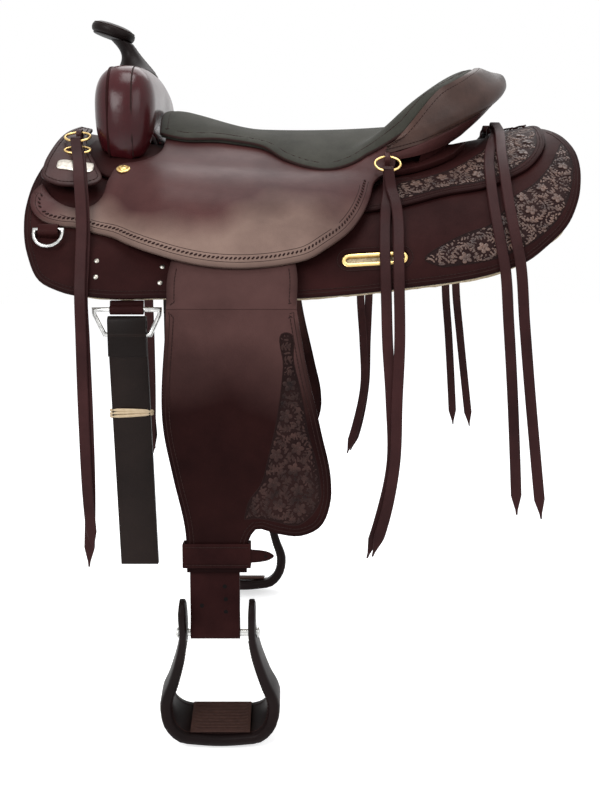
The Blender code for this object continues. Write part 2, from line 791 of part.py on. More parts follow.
def build_horn(leather, steel):
    """Horn: a steel neck on the fork, its leather wrap, and the tilted cap."""
    tilt = radians(HORN_TILT)
    axis = Vector((sin(tilt), 0.0, cos(tilt)))
    forward = Vector((cos(tilt), 0.0, -sin(tilt)))
    side = Vector((0.0, 1.0, 0.0))
    cap = Vector((HORN_CAP_X, 0.0, HORN_CAP_Z))
    under = cap - axis * (HORN_CAP_THICK + 5.0)
    top = under + forward * HORN_NECK_SET_BACK
    base = Vector((FORK_X, 0.0, 0.0))

    def neck_ring(share, radius, count=16):
        """Ring round the neck: its lowest follows the swell, and its highest lies under the cap."""
        points = []
        for i in range(count):
            angle = 2 * pi * i / count
            low = base + Vector((radius * cos(angle), radius * sin(angle), 0.0))
            low.z = fork_top(low.x, low.y) + 1.3
            high = top + forward * (radius * cos(angle)) + side * (radius * sin(angle))
            points.append(low * (1.0 - share) + high * share)
        return points

    core = [neck_ring(0.0, HORN_NECK_RADIUS - 4.0), neck_ring(0.99, HORN_NECK_RADIUS - 4.0)]
    data = bmesh.new()
    loft(data, core)
    finish_mesh("horn_core", data, steel)
    inner = HORN_NECK_RADIUS - 4.0 + STRAP_GAP
    rings = [neck_ring(share, inner + HORN_WRAP + 11.0 * (1.0 - share) ** 3) for share in
             (0.0, 0.12, 0.28, 0.5, 0.75, 0.98)]
    rings += [neck_ring(share, inner) for share in (0.98, 0.5, 0.0)]
    data = bmesh.new()
    loft(data, rings, capped=False)
    finish_mesh("horn_wrap", data, leather)
    profile = ((0.35, -5.0), (0.62, -4.4), (0.9, -1.0), (1.0, 4.0), (0.97, 8.5), (0.86, 11.5), (0.5, 14.5),
               (0.1, 15.5))
    data = bmesh.new()
    lift = cap - axis * HORN_CAP_THICK
    rings = [(lift + axis * height, HORN_CAP_RADIUS * share) for share, height in profile]
    loft(data, [ring_points(centre, forward, side, (radius, radius), 24) for centre, radius in rings])
    finish_mesh("horn_cap", data, leather)


# Fenders and stirrup leathers

def build_leathers(side, name, leather, steel):
    """Upper and lower halves of one stirrup leather and fender, with the strap and buckle that join them."""
    slope = Slope(side)
    hanging = Hanging(slope)
    low = slope.length
    pivot = slope.at(SWING_X, -SWING_RISE, 0.0)
    hinge = hanging.hinge
    half = LEATHER_WIDTH / 2
    left = LEATHER_X - half
    right = LEATHER_X + half
    end = low - 3.4
    strap = [((left, end), (left, -8), (left + 12, -42), (LEATHER_X, -50), (right - 12, -42), (right, -8),
              (right, end)),
             ((right, end), (left, end))]
    data = bmesh.new()
    plate(data, [outline(strap, 16.0)], slope.at, level_field(LEATHER), level_field(0.0), (60.0, 60.0))
    finish_mesh(f"stirrup_leather_upper_{name}", data, leather, pivot)
    end = low - 1.5
    panel = [((-156, end), (-155, 8), (-146, -22), (-120, -44), (-78, -52), (-36, -44), (-12, -22), (-4, 8),
              (-4, end)),
             ((-4, end), (-156, end))]
    inner = LEATHER + STRAP_GAP
    data = bmesh.new()
    plate(data, [outline(panel, 18.0)], slope.at, level_field(inner + FENDER), level_field(inner),
          (60.0, 60.0))
    finish_mesh(f"fender_upper_{name}", data, leather, pivot)

    top = hinge.z - 1.5
    lobe = [((-156, top), (-161, -309), (-151, -361), (-137, -430), (-136, -478)),
            ((-136, -478), (-64, -478)),
            ((-64, -478), (-62, -440), (-53, -425), (-29, -430), (1, -433), (22, -424), (37, -388),
             (37, -366), (25, -306), (6, -221), (-4, top)),
            ((-4, top), (-156, top))]
    data = bmesh.new()
    plate(data, [outline(lobe, 16.0)], hanging.at, level_field(0.0), level_field(-FENDER), (50.0, 50.0))
    finish_mesh(f"fender_{name}", data, leather, hinge)

    core = -(FENDER + STRAP_GAP + LEATHER / 2)
    loop = BOLT_RADIUS + 0.5
    profile = [Vector((core - LEATHER / 2, hinge.z - 3.4)), Vector((core - LEATHER / 2, BOLT_Z + 26.0))]
    profile += [Vector((core + (loop + 3.0) * cos(a), BOLT_Z + (loop + 3.0) * sin(a)))
                for a in [pi + pi * i / 8 for i in range(9)]]
    profile += [Vector((core + LEATHER / 2, BOLT_Z + 26.0)), Vector((core + LEATHER / 2, hinge.z - 3.4))]
    bore = [Vector((core + loop * cos(2 * pi * i / 12), BOLT_Z + loop * sin(2 * pi * i / 12)))
            for i in range(12)]
    data = bmesh.new()
    extrude_flat(data, [profile, bore], left, right, lambda offset, z, x: hanging.at(x, z, offset))
    finish_mesh(f"stirrup_leather_lower_{name}", data, leather, hinge)

    back = core - LEATHER / 2 - STRAP_GAP
    gap = STRAP_GAP + 0.6
    wall = 3.0
    front = LEATHER_X - 34.0 - gap
    rear = LEATHER_X + 40.0 + gap
    keeper = [Vector(p) for p in ((front, back - gap), (rear, back - gap), (rear, gap), (front, gap))]
    outer = [Vector((p.x + (wall if p.x > LEATHER_X else -wall), p.y + (wall if p.y > 0 else -wall)))
             for p in keeper]
    data = bmesh.new()
    extrude_flat(data, [outer, keeper], -472.0, -442.0, lambda x, offset, z: hanging.at(x, z, offset))
    finish_mesh(f"hobble_strap_{name}", data, leather, hinge)

    buckle = slot_outline(LEATHER_X, -392.0, 34.0, 22.0, 4)
    data = bmesh.new()
    extrude_flat(data, [buckle], back - 2.4, back, hanging.at)
    finish_mesh(f"leather_buckle_{name}", data, steel, hinge)
    return hanging.at(LEATHER_X + STIRRUP_SHIFT, BOLT_Z, core)


# Stirrups

def stirrup_path():
    """Middle line of a stirrup from one ear round the tread to the other: x, z, thickness and depth."""
    half = STIRRUP_HALF_WIDTH - STIRRUP_THICK / 2
    drop = STIRRUP_BOTTOM_Z - BOLT_Z + STIRRUP_THICK / 2
    ear = STIRRUP_EAR_HALF
    one_side = (
        (ear, STIRRUP_EAR_RISE, 8.0, EAR_DEPTH * 0.7),
        (ear, STIRRUP_EAR_RISE - 14.0, 9.0, EAR_DEPTH),
        (ear, 0.0, 9.0, EAR_DEPTH),
        (ear + 4.0, -26.0, 11.0, EAR_DEPTH),
        (half - 10.0, drop * 0.48, 13.0, EAR_DEPTH + 2.0),
        (half, drop * 0.7, STIRRUP_THICK, EAR_DEPTH + 8.0),
        (half - 4.0, drop * 0.86, STIRRUP_THICK, TREAD_DEPTH - 8.0),
        (half - 18.0, drop * 0.97, STIRRUP_THICK, TREAD_DEPTH),
        (half * 0.4, drop, STIRRUP_THICK, TREAD_DEPTH),
    )
    mirror = [(-x, z, thick, depth) for x, z, thick, depth in reversed(one_side)]
    return list(one_side) + mirror


def build_stirrup(name, bolt, leather, rubber, steel):
    """Stirrup with its bolt and tread pad, hung on the loop of the leather with its tread leaning in."""
    stations = stirrup_path()
    lean = Matrix.Rotation(radians(STIRRUP_LEAN) * (1.0 if bolt.y < 0 else -1.0), 3, "X")
    rings = []
    for i, (x, z, thick, depth) in enumerate(stations):
        before = stations[max(i - 1, 0)]
        after = stations[min(i + 1, len(stations) - 1)]
        along = Vector((after[0] - before[0], 0.0, after[1] - before[1])).normalized()
        out = Vector((-along.z, 0.0, along.x))
        deep = Vector((0.0, 1.0, 0.0))
        ring = []
        for u, v in ((0.5, 0.34), (0.34, 0.5), (-0.34, 0.5), (-0.5, 0.34), (-0.5, -0.34), (-0.34, -0.5),
                     (0.34, -0.5), (0.5, -0.34)):
            ring.append(bolt + lean @ (Vector((x, 0.0, z)) + out * (u * thick) + deep * (v * depth)))
        rings.append(ring)
    data = bmesh.new()
    loft(data, rings)
    frame = finish_mesh(f"stirrup_{name}", data, leather, bolt)
    data = bmesh.new()
    reach = Vector((STIRRUP_EAR_HALF + 16.0, 0.0, 0.0))
    rod(data, bolt - reach, bolt + reach, BOLT_RADIUS + 0.4)
    cutter = finish_mesh(f"bolt_bore_{name}", data, steel, bolt)
    cutter.hide_render = True
    cutter.display_type = "WIRE"
    cut = frame.modifiers.new("bolt bore", "BOOLEAN")
    cut.operation = "DIFFERENCE"
    cut.object = cutter

    shank = Vector((STIRRUP_EAR_HALF + 6.2, 0.0, 0.0))
    head = Vector((3.0, 0.0, 0.0))
    profile = [(bolt - shank - head, 6.0), (bolt - shank, 6.5), (bolt - shank, BOLT_RADIUS),
               (bolt + shank, BOLT_RADIUS), (bolt + shank, 6.5), (bolt + shank + head, 6.0)]
    up = Vector((0.0, 0.0, 1.0))
    deep = Vector((0.0, 1.0, 0.0))
    data = bmesh.new()
    loft(data, [ring_points(centre, deep, up, (radius, radius), 12) for centre, radius in profile])
    finish_mesh(f"stirrup_bolt_{name}", data, steel, bolt)

    half = STIRRUP_HALF_WIDTH * 0.36
    floor = STIRRUP_BOTTOM_Z - BOLT_Z + STIRRUP_THICK + 0.5
    pad = TREAD_DEPTH / 2 - 6.0
    corners = [Vector((x, y)) for x, y in ((-half, -pad), (half, -pad), (half, pad), (-half, pad))]
    data = bmesh.new()
    extrude_flat(data, [corners], floor, floor + 4.0, lambda x, y, z: bolt + lean @ Vector((x, y, z)))
    finish_mesh(f"stirrup_tread_{name}", data, rubber, bolt)


# Rigging

def loop_profile(centre, bore, wall, tail, steps=14):
    """Flat outline of a strap folded round a wire: a ring with a tail upwards, and its bore."""
    outer = []
    start = asin(min(wall / (bore + wall), 0.9))
    for i in range(steps + 1):
        angle = pi / 2 + start + (2 * pi - 2 * start) * i / steps
        outer.append(centre + Vector(((bore + wall) * cos(angle), (bore + wall) * sin(angle))))
    last = outer[-1]
    first = outer[0]
    outer += [Vector((last.x, centre.y + tail)), Vector((first.x, centre.y + tail))]
    hole = [centre + Vector((bore * cos(2 * pi * i / 12), bore * sin(2 * pi * i / 12))) for i in range(12)]
    return outer, hole


def build_front_rigging(leather, dark_leather, steel):
    """Front dees in their chapes, with the latigo on the near side and the off billet on the other."""
    bore = DEE_WIRE + STRAP_GAP
    for name, side in SIDES:
        bar = on_back(DEE_X, side * DEE_ACROSS, 5.0)
        slope = surface_axes(DEE_X, side * DEE_ACROSS, level_field(5.0))[1]
        outer, hole = loop_profile(Vector((0.0, 0.0)), bore, 3.0, 11.0)
        data = bmesh.new()
        extrude_flat(data, [outer, hole], -CHAPE_WIDTH / 2, CHAPE_WIDTH / 2,
                     lambda across, rise, x, at=bar, down=slope, facing=side:
                     at + Vector((x, facing * across, 0.0))
                     - (down * rise if rise > 5.0 else Vector((0, 0, -rise))))
        finish_mesh(f"front_chape_{name}", data, leather)
        half_top = DEE_WIDTH / 2
        half_low = LATIGO_WIDTH / 2 + DEE_WIRE + 1.6
        lower = bar.z - DEE_DROP
        corners = [Vector((DEE_X + x, bar.y, z)) for x, z in (
            (-half_top, bar.z), (half_top, bar.z), (half_top, bar.z - 6.0), (half_low, lower),
            (-half_low, lower), (-half_top, bar.z - 6.0))]
        data = bmesh.new()
        wire(data, corners, DEE_WIRE, closed=True, normal=Vector((0.0, 1.0, 0.0)))
        finish_mesh(f"front_dee_{name}", data, steel, bar)
        hang = Vector((DEE_X, bar.y, lower))
        end = LATIGO_END_Z if side < 0 else BILLET_END_Z
        outer, hole = loop_profile(Vector((0.0, 0.0)), bore, LATIGO, lower - end)
        lean = LATIGO_LEAN if side < 0 else 0.0
        data = bmesh.new()
        extrude_flat(data, [outer, hole], -LATIGO_WIDTH / 2, LATIGO_WIDTH / 2,
                     lambda across, drop, x, at=hang, slant=lean:
                     at + Vector((x + max(drop, 0.0) * slant, across, -drop)))
        finish_mesh("latigo_left" if side < 0 else "off_billet_right", data, dark_leather, hang)

        foot, down, out = surface_axes(BREAST_DEE_X, side * BREAST_DEE_ACROSS, level_field(SKIRT_OUTER))
        bar = foot + out * STAPLE_HEIGHT
        half = BREAST_DEE_WIDTH / 2
        path = [bar + Vector((half, 0.0, 0.0)), bar + Vector((-half, 0.0, 0.0))]
        for i in range(9):
            angle = pi * i / 8
            path.append(bar + Vector((-half * cos(angle), 0.0, 0.0)) + down * (6.0 + half * sin(angle)))
        data = bmesh.new()
        wire(data, path, RING_WIRE, closed=True, normal=out)
        finish_mesh(f"breast_dee_{name}", data, steel, bar)


# Rings and staples

def surface_axes(x, across, field):
    """Point on a draped face with the directions down the slope and out of it."""
    point = on_back(x, across, field(x, across))
    beyond = across + (2.0 if across > 0 else -2.0) * RING_RADIUS
    down = (on_back(x, beyond, field(x, beyond)) - point).normalized()
    out = down.cross(Vector((1.0, 0.0, 0.0))).normalized()
    return point, down, out if out.z > 0 else -out


def fuse_staple(carrier, foot, along, out, half_width, finish, span=7.0):
    """Join an arch to the face of a piece, wide enough for a ring's wire to turn under it."""
    across = along.cross(out).normalized()
    rings = []
    for i in range(11):
        angle = pi * i / 10
        flat = span * (abs(cos(angle)) ** 0.6) * (1.0 if cos(angle) > 0 else -1.0)
        rise = (STAPLE_HEIGHT + RING_WIRE + 1.4) * sin(angle) ** 0.5 - 2.0 * (1.0 - sin(angle)) ** 4
        centre = foot + along * flat + out * rise
        spoke = (along * flat / span + out * sin(angle)).normalized()
        rings.append([centre + across * (u * half_width) + spoke * (v * 0.9)
                      for u, v in ((1, 1), (-1, 1), (-1, -1), (1, -1))])
    data = bmesh.new()
    loft(data, rings)
    arch = finish_mesh(f"{carrier.name}_staple_{len(bpy.data.objects)}", data, finish)
    arch.hide_render = True
    arch.display_type = "WIRE"
    joined = carrier.modifiers.new("staple", "BOOLEAN")
    joined.operation = "UNION"
    joined.object = arch


def ring_seats(side):
    """The string rings of one side: a name, and the foot, slope and facing of the staple of each."""
    return (("front", surface_axes(FRONT_RING_X, side * FRONT_RING_ACROSS, front_top)),
            ("middle", surface_axes(MIDDLE_RING_X, side * MIDDLE_RING_ACROSS, seat_top)))


def build_rings(brass):
    """Brass rings for the saddle strings, which hang in the staples."""
    for name, side in SIDES:
        for place, (foot, down, out) in ring_seats(side):
            bar = foot + out * RING_LIFT
            centre = bar + down * RING_RADIUS
            path = []
            for i in range(16):
                angle = 2 * pi * i / 16
                wide = Vector((RING_HALF_WIDTH * cos(angle), 0.0, 0.0))
                path.append(centre + wide + down * (RING_RADIUS * sin(angle)))
            data = bmesh.new()
            wire(data, path, RING_WIRE * 0.7, count=6, closed=True, normal=out)
            finish_mesh(f"string_ring_{place}_{name}", data, brass, bar)


# Saddle strings

def string_routes():
    """Routes of the saddle strings on the near side: a name, and the inner and the outer tail of each pair.

    A point is x, distance across the back and offset while the string lies on the saddle,
    and x, y and z once it hangs free.
    """
    skirt = ON_SKIRT + STRING / 2 + 1.2
    jockey = skirt + REAR_JOCKEY + LAYER_GAP
    lobe = ON_SKIRT + BAR_RISE + FRONT_JOCKEY + STRING / 2 + 2.6
    front = (
        (((-277, 152, lobe), (-270, 178, lobe), (-265, 205, lobe), (-260, 236, lobe - 6), (-257, 265, 26.5),
          (-256, 300, 22), (-256, 334, 21)),
         ((-255, -280, -200), (-254, -280, -300), (-255, -279, -400), (-259, -279, -480))),
        (((-279, 154, lobe + 5), (-273, 178, lobe + 5), (-268, 205, lobe + 5), (-263, 236, lobe - 1),
          (-260, 265, 31.5), (-259, 300, 27), (-258, 334, 26)),
         ((-258, -285, -200), (-258, -285, -300), (-256, -284.5, -400), (-252, -284, -458))),
    )
    middle = (
        (((109, 184, jockey + 2), (106, 202, jockey + 1), (104, 224, skirt + 1), (102, 270, skirt),
          (102, 316, skirt)),
         ((103, -286, -200), (108, -287, -270), (110, -287, -350), (96, -286, -420), (82, -285, -467))),
        (((113, 184, jockey + 8), (117, 204, jockey + 6), (119, 226, skirt + 6), (118, 270, skirt + 5),
          (117, 316, skirt + 5)),
         ((117, -291, -200), (115, -293, -270), (113, -293, -350), (101, -292, -420), (88, -291, -463))),
    )
    rear = (
        (((264, 50, jockey + 2), (253, 85, jockey + 1.4), (242, 130, jockey + 0.8), (237, 178, jockey + 0.8),
          (237, 215, skirt + 1.4), (240, 270, skirt), (243, 304, skirt)),
         ((246, -281, -180), (253, -281, -260), (259, -280, -340), (264, -279, -414))),
        (((267, 50, jockey + 7), (263, 85, jockey + 5), (257, 130, jockey + 5), (254, 178, jockey + 5),
          (254, 215, skirt + 6), (257, 270, skirt + 5), (260, 300, skirt + 5)),
         ((264, -285, -180), (273, -285, -260), (283, -284, -340), (293, -283, -418))),
    )
    return {"front": front, "middle": middle, "rear": rear}


def tail_points(side, laid, free):
    """Route of one tail from where it leaves its ring to its tip."""
    points = [on_back(x, side * across, offset) for x, across, offset in laid]
    return points + [Vector((x, y if side < 0 else -y, z)) for x, y, z in free]


def string_bar(place, side):
    """The wire that a pair of strings is folded over: its middle, and the slope and facing there."""
    if place == "rear":
        foot, down, out = surface_axes(REAR_STAPLE_X, side * REAR_STAPLE_ACROSS, level_field(ON_REAR_JOCKEY))
        return foot + out * (STAPLE_HEIGHT + RING_WIRE + 1.0), down, out
    foot, down, out = dict(ring_seats(side))[place]
    return foot + out * RING_LIFT + down * (2.0 * RING_RADIUS), down, out


def string_path(place, side):
    """Route of a folded thong, from the tip of its inner tail over the wire to the tip of the other."""
    inner, outer = string_routes()[place]
    bar, down, out = string_bar(place, side)
    turn = RING_WIRE + 2.0 * STRAP_GAP + STRING / 2
    slant = turn * 0.707
    fold = [bar + down * 3.0 - out * turn, bar - out * turn, bar - (down + out) * slant, bar - down * turn,
            bar + (out - down) * slant, bar + out * turn, bar + down * 3.0 + out * turn]
    first = tail_points(side, *inner)
    second = tail_points(side, *outer)
    return (smooth_run(list(reversed(first)) + [fold[0]], 24.0)[:-1] + fold
            + smooth_run([fold[-1]] + second, 24.0)[1:])


def ribbon(data, path, width, thick):
    """Add a flat strap along a path, its width along the saddle's length."""
    rings = []
    for i, point in enumerate(path):
        along = (path[min(i + 1, len(path) - 1)] - path[max(i - 1, 0)]).normalized()
        wide = Vector((1.0, 0.0, 0.0))
        wide = (wide - along * wide.dot(along)).normalized()
        out = along.cross(wide).normalized()
        rings.append([point + wide * (u * width / 2) + out * (v * thick / 2)
                      for u, v in ((1, 1), (-1, 1), (-1, -1), (1, -1))])
    loft(data, rings)


def build_strings(leather):
    """Three folded thongs on each side, each with two tails."""
    for place in string_routes():
        for name, side in SIDES:
            data = bmesh.new()
            ribbon(data, string_path(place, side), STRING_WIDTH, STRING)
            finish_mesh(f"strings_{place}_{name}", data, leather)


def build_jockey_lacing(leather):
    """Lace that zigzags over the joint of the two rear jockeys behind the cantle."""
    path = []
    for i in range(9):
        across = 9.0 * (0, 1, 0, -1)[i % 4]
        path.append(on_back(278.0 + 4.5 * i, across, ON_REAR_JOCKEY + 1.9))
    data = bmesh.new()
    wire(data, path, 1.4, count=6, normal=Vector((0.0, 0.0, 1.0)))
    finish_mesh("rear_jockey_lacing", data, leather)


def build_saddle():
    """Build every piece of the saddle."""
    burgundy = material("burgundy leather", (0.085, 0.022, 0.022), 0.38)
    string_leather = material("latigo leather", (0.11, 0.028, 0.03), 0.45)
    dark = material("black oiled leather", (0.014, 0.011, 0.011), 0.45)
    suede = material("slate suede", (0.055, 0.065, 0.062), 0.85)
    wool = material("cream fleece", (0.55, 0.48, 0.36), 0.95)
    wood = material("rawhide covered wood", (0.42, 0.33, 0.2), 0.6)
    rubber = material("tread leather", (0.02, 0.014, 0.013), 0.6)
    brass = material("brass", (0.72, 0.5, 0.2), 0.28, 1.0)
    steel = material("stainless steel", (0.62, 0.62, 0.6), 0.25, 1.0)

    build_skirts(burgundy, wool, brass)
    build_tree_bars(wood)
    build_ground_seat(steel)
    build_seat_leather(burgundy)
    build_seat_pad(suede)
    build_jockeys(burgundy)
    build_cantle(burgundy, wood)
    build_fork(burgundy, wood)
    build_horn(burgundy, steel)
    for name, side in SIDES:
        bolt = build_leathers(side, name, burgundy, steel)
        build_stirrup(name, bolt, dark, rubber, steel)
    build_front_rigging(burgundy, dark, steel)
    build_rings(brass)
    build_strings(string_leather)
    build_jockey_lacing(string_leather)


for thing in list(bpy.data.objects):
    bpy.data.objects.remove(thing, do_unlink=True)
build_saddle()
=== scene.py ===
"""Dressed western draft saddle: finishes, stitching, tooling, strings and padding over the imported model.

Sizes are written in millimetres, as a saddler's pattern has them, and turned into metres when a mesh is made.
The horse's head is towards -X, its near side towards -Y, and +Z is up.
"""

import json
import logging
import random
from contextlib import contextmanager
from dataclasses import dataclass
from enum import Enum
from math import asin, cos, pi, radians, sin
from typing import Callable, Iterator, Optional, Sequence

import bmesh
import bpy
import numpy as np
from mathutils import Matrix, Vector, noise
from mathutils.geometry import delaunay_2d_cdt

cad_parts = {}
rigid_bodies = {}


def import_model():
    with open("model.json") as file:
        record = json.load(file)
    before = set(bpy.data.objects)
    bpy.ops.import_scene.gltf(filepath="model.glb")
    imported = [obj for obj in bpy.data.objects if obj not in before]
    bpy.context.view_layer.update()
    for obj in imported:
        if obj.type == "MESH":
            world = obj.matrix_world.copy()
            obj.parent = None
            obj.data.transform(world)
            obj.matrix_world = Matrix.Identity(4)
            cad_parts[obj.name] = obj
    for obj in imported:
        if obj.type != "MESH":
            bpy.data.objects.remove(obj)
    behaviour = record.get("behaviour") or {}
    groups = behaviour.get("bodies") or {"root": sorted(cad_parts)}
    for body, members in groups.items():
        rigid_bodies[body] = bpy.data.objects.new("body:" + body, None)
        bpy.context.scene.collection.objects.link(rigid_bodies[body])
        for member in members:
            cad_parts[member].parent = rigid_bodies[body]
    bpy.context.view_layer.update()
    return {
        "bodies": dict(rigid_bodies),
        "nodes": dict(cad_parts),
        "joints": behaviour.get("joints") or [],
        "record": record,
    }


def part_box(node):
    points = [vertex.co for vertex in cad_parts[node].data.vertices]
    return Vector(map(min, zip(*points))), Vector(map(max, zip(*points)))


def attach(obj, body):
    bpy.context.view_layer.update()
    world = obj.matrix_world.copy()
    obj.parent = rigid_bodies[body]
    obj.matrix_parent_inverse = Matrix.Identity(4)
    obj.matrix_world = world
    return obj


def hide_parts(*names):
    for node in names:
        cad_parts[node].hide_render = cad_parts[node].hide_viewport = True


LOG = logging.getLogger("saddle")
Piece = bpy.types.Object
Node = bpy.types.Node
NodeTree = bpy.types.NodeTree
Socket = bpy.types.NodeSocket
Field = Callable[[float, float], float]
Surface = Callable[[float, float, float], Vector]
Pair = tuple[float, float]
Points = Sequence[Sequence[float]]
Path = Sequence[Vector]
Axes = tuple[Vector, Vector, Vector]
Spot = tuple[Vector, Vector]
Run = Sequence[Spot]
Keep = Callable[[Vector], bool]
Cut = tuple[Surface, Field, Path]
Mark = tuple[Vector, Vector, Vector, float]

MM = 0.001
WELD = 0.00002
FLAT = 1.5

BACK_RADIUS = 300.0
BACK_PEAK = 18.0
BACK_HEIGHT = 12.0
BACK_ROCK = 0.00031
FLEECE = 12.0
LAYER_GAP = 0.6
SKIRT_INNER = FLEECE + 0.9
SKIRT = 4.6
SKIRT_OUTER = SKIRT_INNER + SKIRT
ON_SKIRT = SKIRT_OUTER + LAYER_GAP
REAR_JOCKEY = 4.0
ON_REAR_JOCKEY = ON_SKIRT + LAYER_GAP + REAR_JOCKEY
BAR_RISE = 13.0
ON_BARS = ON_SKIRT + BAR_RISE - 3.5
SEAT_LEATHER = 4.0
FRONT_JOCKEY = 4.0
PAD_EDGE = 5.2
PAD_CROWN = 6.0
CANTLE_X = 236.0
CANTLE_RUN = 108.0
CANTLE_CREST_X = 242.0
CANTLE_RISE = 66.0
CANTLE_END = 0.86
CANTLE_BASE_X = CANTLE_X - 140.0
CANTLE_HALF_WIDTH = 148.0
FORK_X = -226.0
FORK_HALF_LENGTH = 39.0
FORK_HALF_WIDTH = 150.0
FORK_TOP = 141.0
LEATHER = 6.0
FENDER = 4.5
LEATHER_LIFT = 2.5
STRAP_GAP = 0.4
SWING_X = -78.0
BEND_Z = -168.0
LEATHER_SLOPE = 58.0
HANG_ANGLE = 88.0
LEATHER_X = -103.0
BOLT_Z = -556.0
STRING = 2.6
STRING_WIDTH = 13.0
RING_LIFT = 7.8
RING_RADIUS = 13.0
BAR_DROP = 7.2
BAND_Z = -290.0
STAPLE_RISE = 10.6
STAPLE_SPAN = 7.0
REAR_STAPLE = (266.0, 26.0)
FRONT_RING = (-283.0, 112.0)
MIDDLE_RING = (110.0, 140.0)
FORWARD = Vector((1.0, 0.0, 0.0))


class Side(Enum):
    """The two sides of the saddle, as the sign of Y."""

    LEFT = -1
    RIGHT = 1

    @property
    def word(self) -> str:
        """Name that the nodes of this side end in."""
        return self.name.lower()


# Curves and fields

def smooth_step(value: float) -> float:
    """Rise smoothly from 0 to 1 as the value goes from 0 to 1."""
    clipped = min(max(value, 0.0), 1.0)
    return clipped * clipped * (3.0 - 2.0 * clipped)


def bell(value: float) -> float:
    """Fall smoothly from 1 at 0 to 0 at 1."""
    return 1.0 - smooth_step(abs(value))


def smooth_run(points: Points, step: float) -> list[Vector]:
    """Follow a smooth curve through chosen points.

    Args:
        points: the points that the curve passes through.
        step: rough distance between the points that come back.

    Returns:
        Points along the curve, both ends among them.
    """
    pts = [Vector(p) for p in points]
    last = len(pts) - 1
    slopes = []
    for i, point in enumerate(pts):
        before = pts[max(i - 1, 0)]
        after = pts[min(i + 1, last)]
        back = max((point - before).length, 1e-6)
        ahead = max((after - point).length, 1e-6)
        if i in (0, last):
            slopes.append((after - before).normalized())
        else:
            lean = (point - before) / back * ahead + (after - point) / ahead * back
            slopes.append(lean / (back + ahead))
    run = []
    for i in range(last):
        span = (pts[i + 1] - pts[i]).length
        count = max(1, round(span / step))
        for k in range(count):
            t = k / count
            run.append(pts[i] * (2 * t**3 - 3 * t**2 + 1) + slopes[i] * ((t**3 - 2 * t**2 + t) * span)
                       + pts[i + 1] * (3 * t**2 - 2 * t**3) + slopes[i + 1] * ((t**3 - t**2) * span))
    run.append(pts[-1])
    return run


def turns(count: int, closed: bool = False) -> list[float]:
    """Angles once round in even steps, with the first again at the end if closed."""
    return [2 * pi * i / count for i in range(count + closed)]


def bent(value: float, power: float) -> float:
    """Raise a number to a power and keep its sign."""
    return abs(value) ** power * (1.0 if value > 0 else -1.0)


def outline(runs: Sequence[Points], step: float) -> list[Vector]:
    """Join smooth runs that meet at corners into one closed outline."""
    return [p for run in runs for p in smooth_run(run, step)[:-1]]


def doubled(half: list[Vector]) -> list[Vector]:
    """Close half an outline, from centre line to centre line, with its mirror image.

    Args:
        half: its points, the first and last of which are set on the centre line.

    Returns:
        The whole outline.
    """
    half[0].y = half[-1].y = 0.0
    return half + [Vector((p.x, -p.y)) for p in reversed(half[1:-1])]


# Surfaces

def spine_height(x: float) -> float:
    """Height of the back's ridge line at x."""
    return BACK_HEIGHT + BACK_ROCK * x * x


def on_back(x: float, across: float, offset: float) -> Vector:
    """Point at a distance across the back, measured on its arc, and lifted off it by an offset.

    Args:
        x: place along the saddle.
        across: distance across the back on its arc.
        offset: lift off the back.

    Returns:
        The point in millimetres.
    """
    side = -1.0 if across < 0.0 else 1.0
    reach = BACK_RADIUS + offset
    angle = abs(across) / BACK_RADIUS + asin(BACK_PEAK / reach)
    return Vector((x, side * (reach * sin(angle) - BACK_PEAK), spine_height(x) - BACK_RADIUS + reach * cos(angle)))


def sided(side: Side) -> Surface:
    """Back's surface for a piece of one side, whose pattern has positive distances across."""
    return lambda x, across, offset: on_back(x, side.value * across, offset)


def level(value: float) -> Field:
    """Offset field that is the same everywhere."""
    return lambda x, across: value


class Slope:
    """Flat plane beside the skirt in which the stirrup leather and the top of the fender hang."""

    def __init__(self, side: Side) -> None:
        """Set the plane out on one side.

        Args:
            side: the side of the leather.
        """
        angle = radians(LEATHER_SLOPE)
        self.side = side
        self.out = Vector((0.0, side.value * sin(angle), cos(angle)))
        self.down = Vector((0.0, side.value * cos(angle), -sin(angle)))
        reach = BACK_RADIUS + ON_SKIRT + LEATHER_LIFT
        self.start = Vector((0.0, side.value * (reach * sin(angle) - BACK_PEAK),
                             spine_height(SWING_X) - BACK_RADIUS + reach * cos(angle)))
        self.length = (self.start.z - BEND_Z) / sin(angle)

    def at(self, x: float, down: float, offset: float) -> Vector:
        """Point in the plane, down from the tangent line, with an offset outwards."""
        return self.start + Vector((x, 0.0, 0.0)) + self.down * down + self.out * offset


class Hanging:
    """Nearly upright plane below the bend, in which the fender hangs."""

    def __init__(self, side: Side) -> None:
        """Set the plane out below the slope of one side.

        Args:
            side: the side of the fender.
        """
        slope = Slope(side)
        angle = radians(HANG_ANGLE)
        self.side = side
        self.out = Vector((0.0, side.value * sin(angle), cos(angle)))
        self.down = Vector((0.0, side.value * cos(angle), -sin(angle)))
        self.hinge = slope.at(0.0, slope.length, LEATHER + STRAP_GAP + FENDER)

    def at(self, x: float, z: float, offset: float) -> Vector:
        """Point at a height z, with an offset outwards from the plane of the fender's outer face."""
        fall = (self.hinge.z - z) / sin(radians(HANG_ANGLE))
        return self.hinge + Vector((x, 0.0, 0.0)) + self.down * fall + self.out * offset


def cantle_crest(across: float) -> float:
    """Where the crest of the cantle's dish stands at a distance across the seat."""
    return CANTLE_CREST_X - 0.17 * abs(across) ** 1.3


def cantle_rise(x: float, across: float) -> float:
    """How far the seat sweeps up towards the crest of the cantle."""
    rise = CANTLE_RISE * (1.0 - smooth_step((abs(across) - 95.0) / 55.0))
    return rise * bell(min(x - cantle_crest(across), 0.0) / CANTLE_RUN)


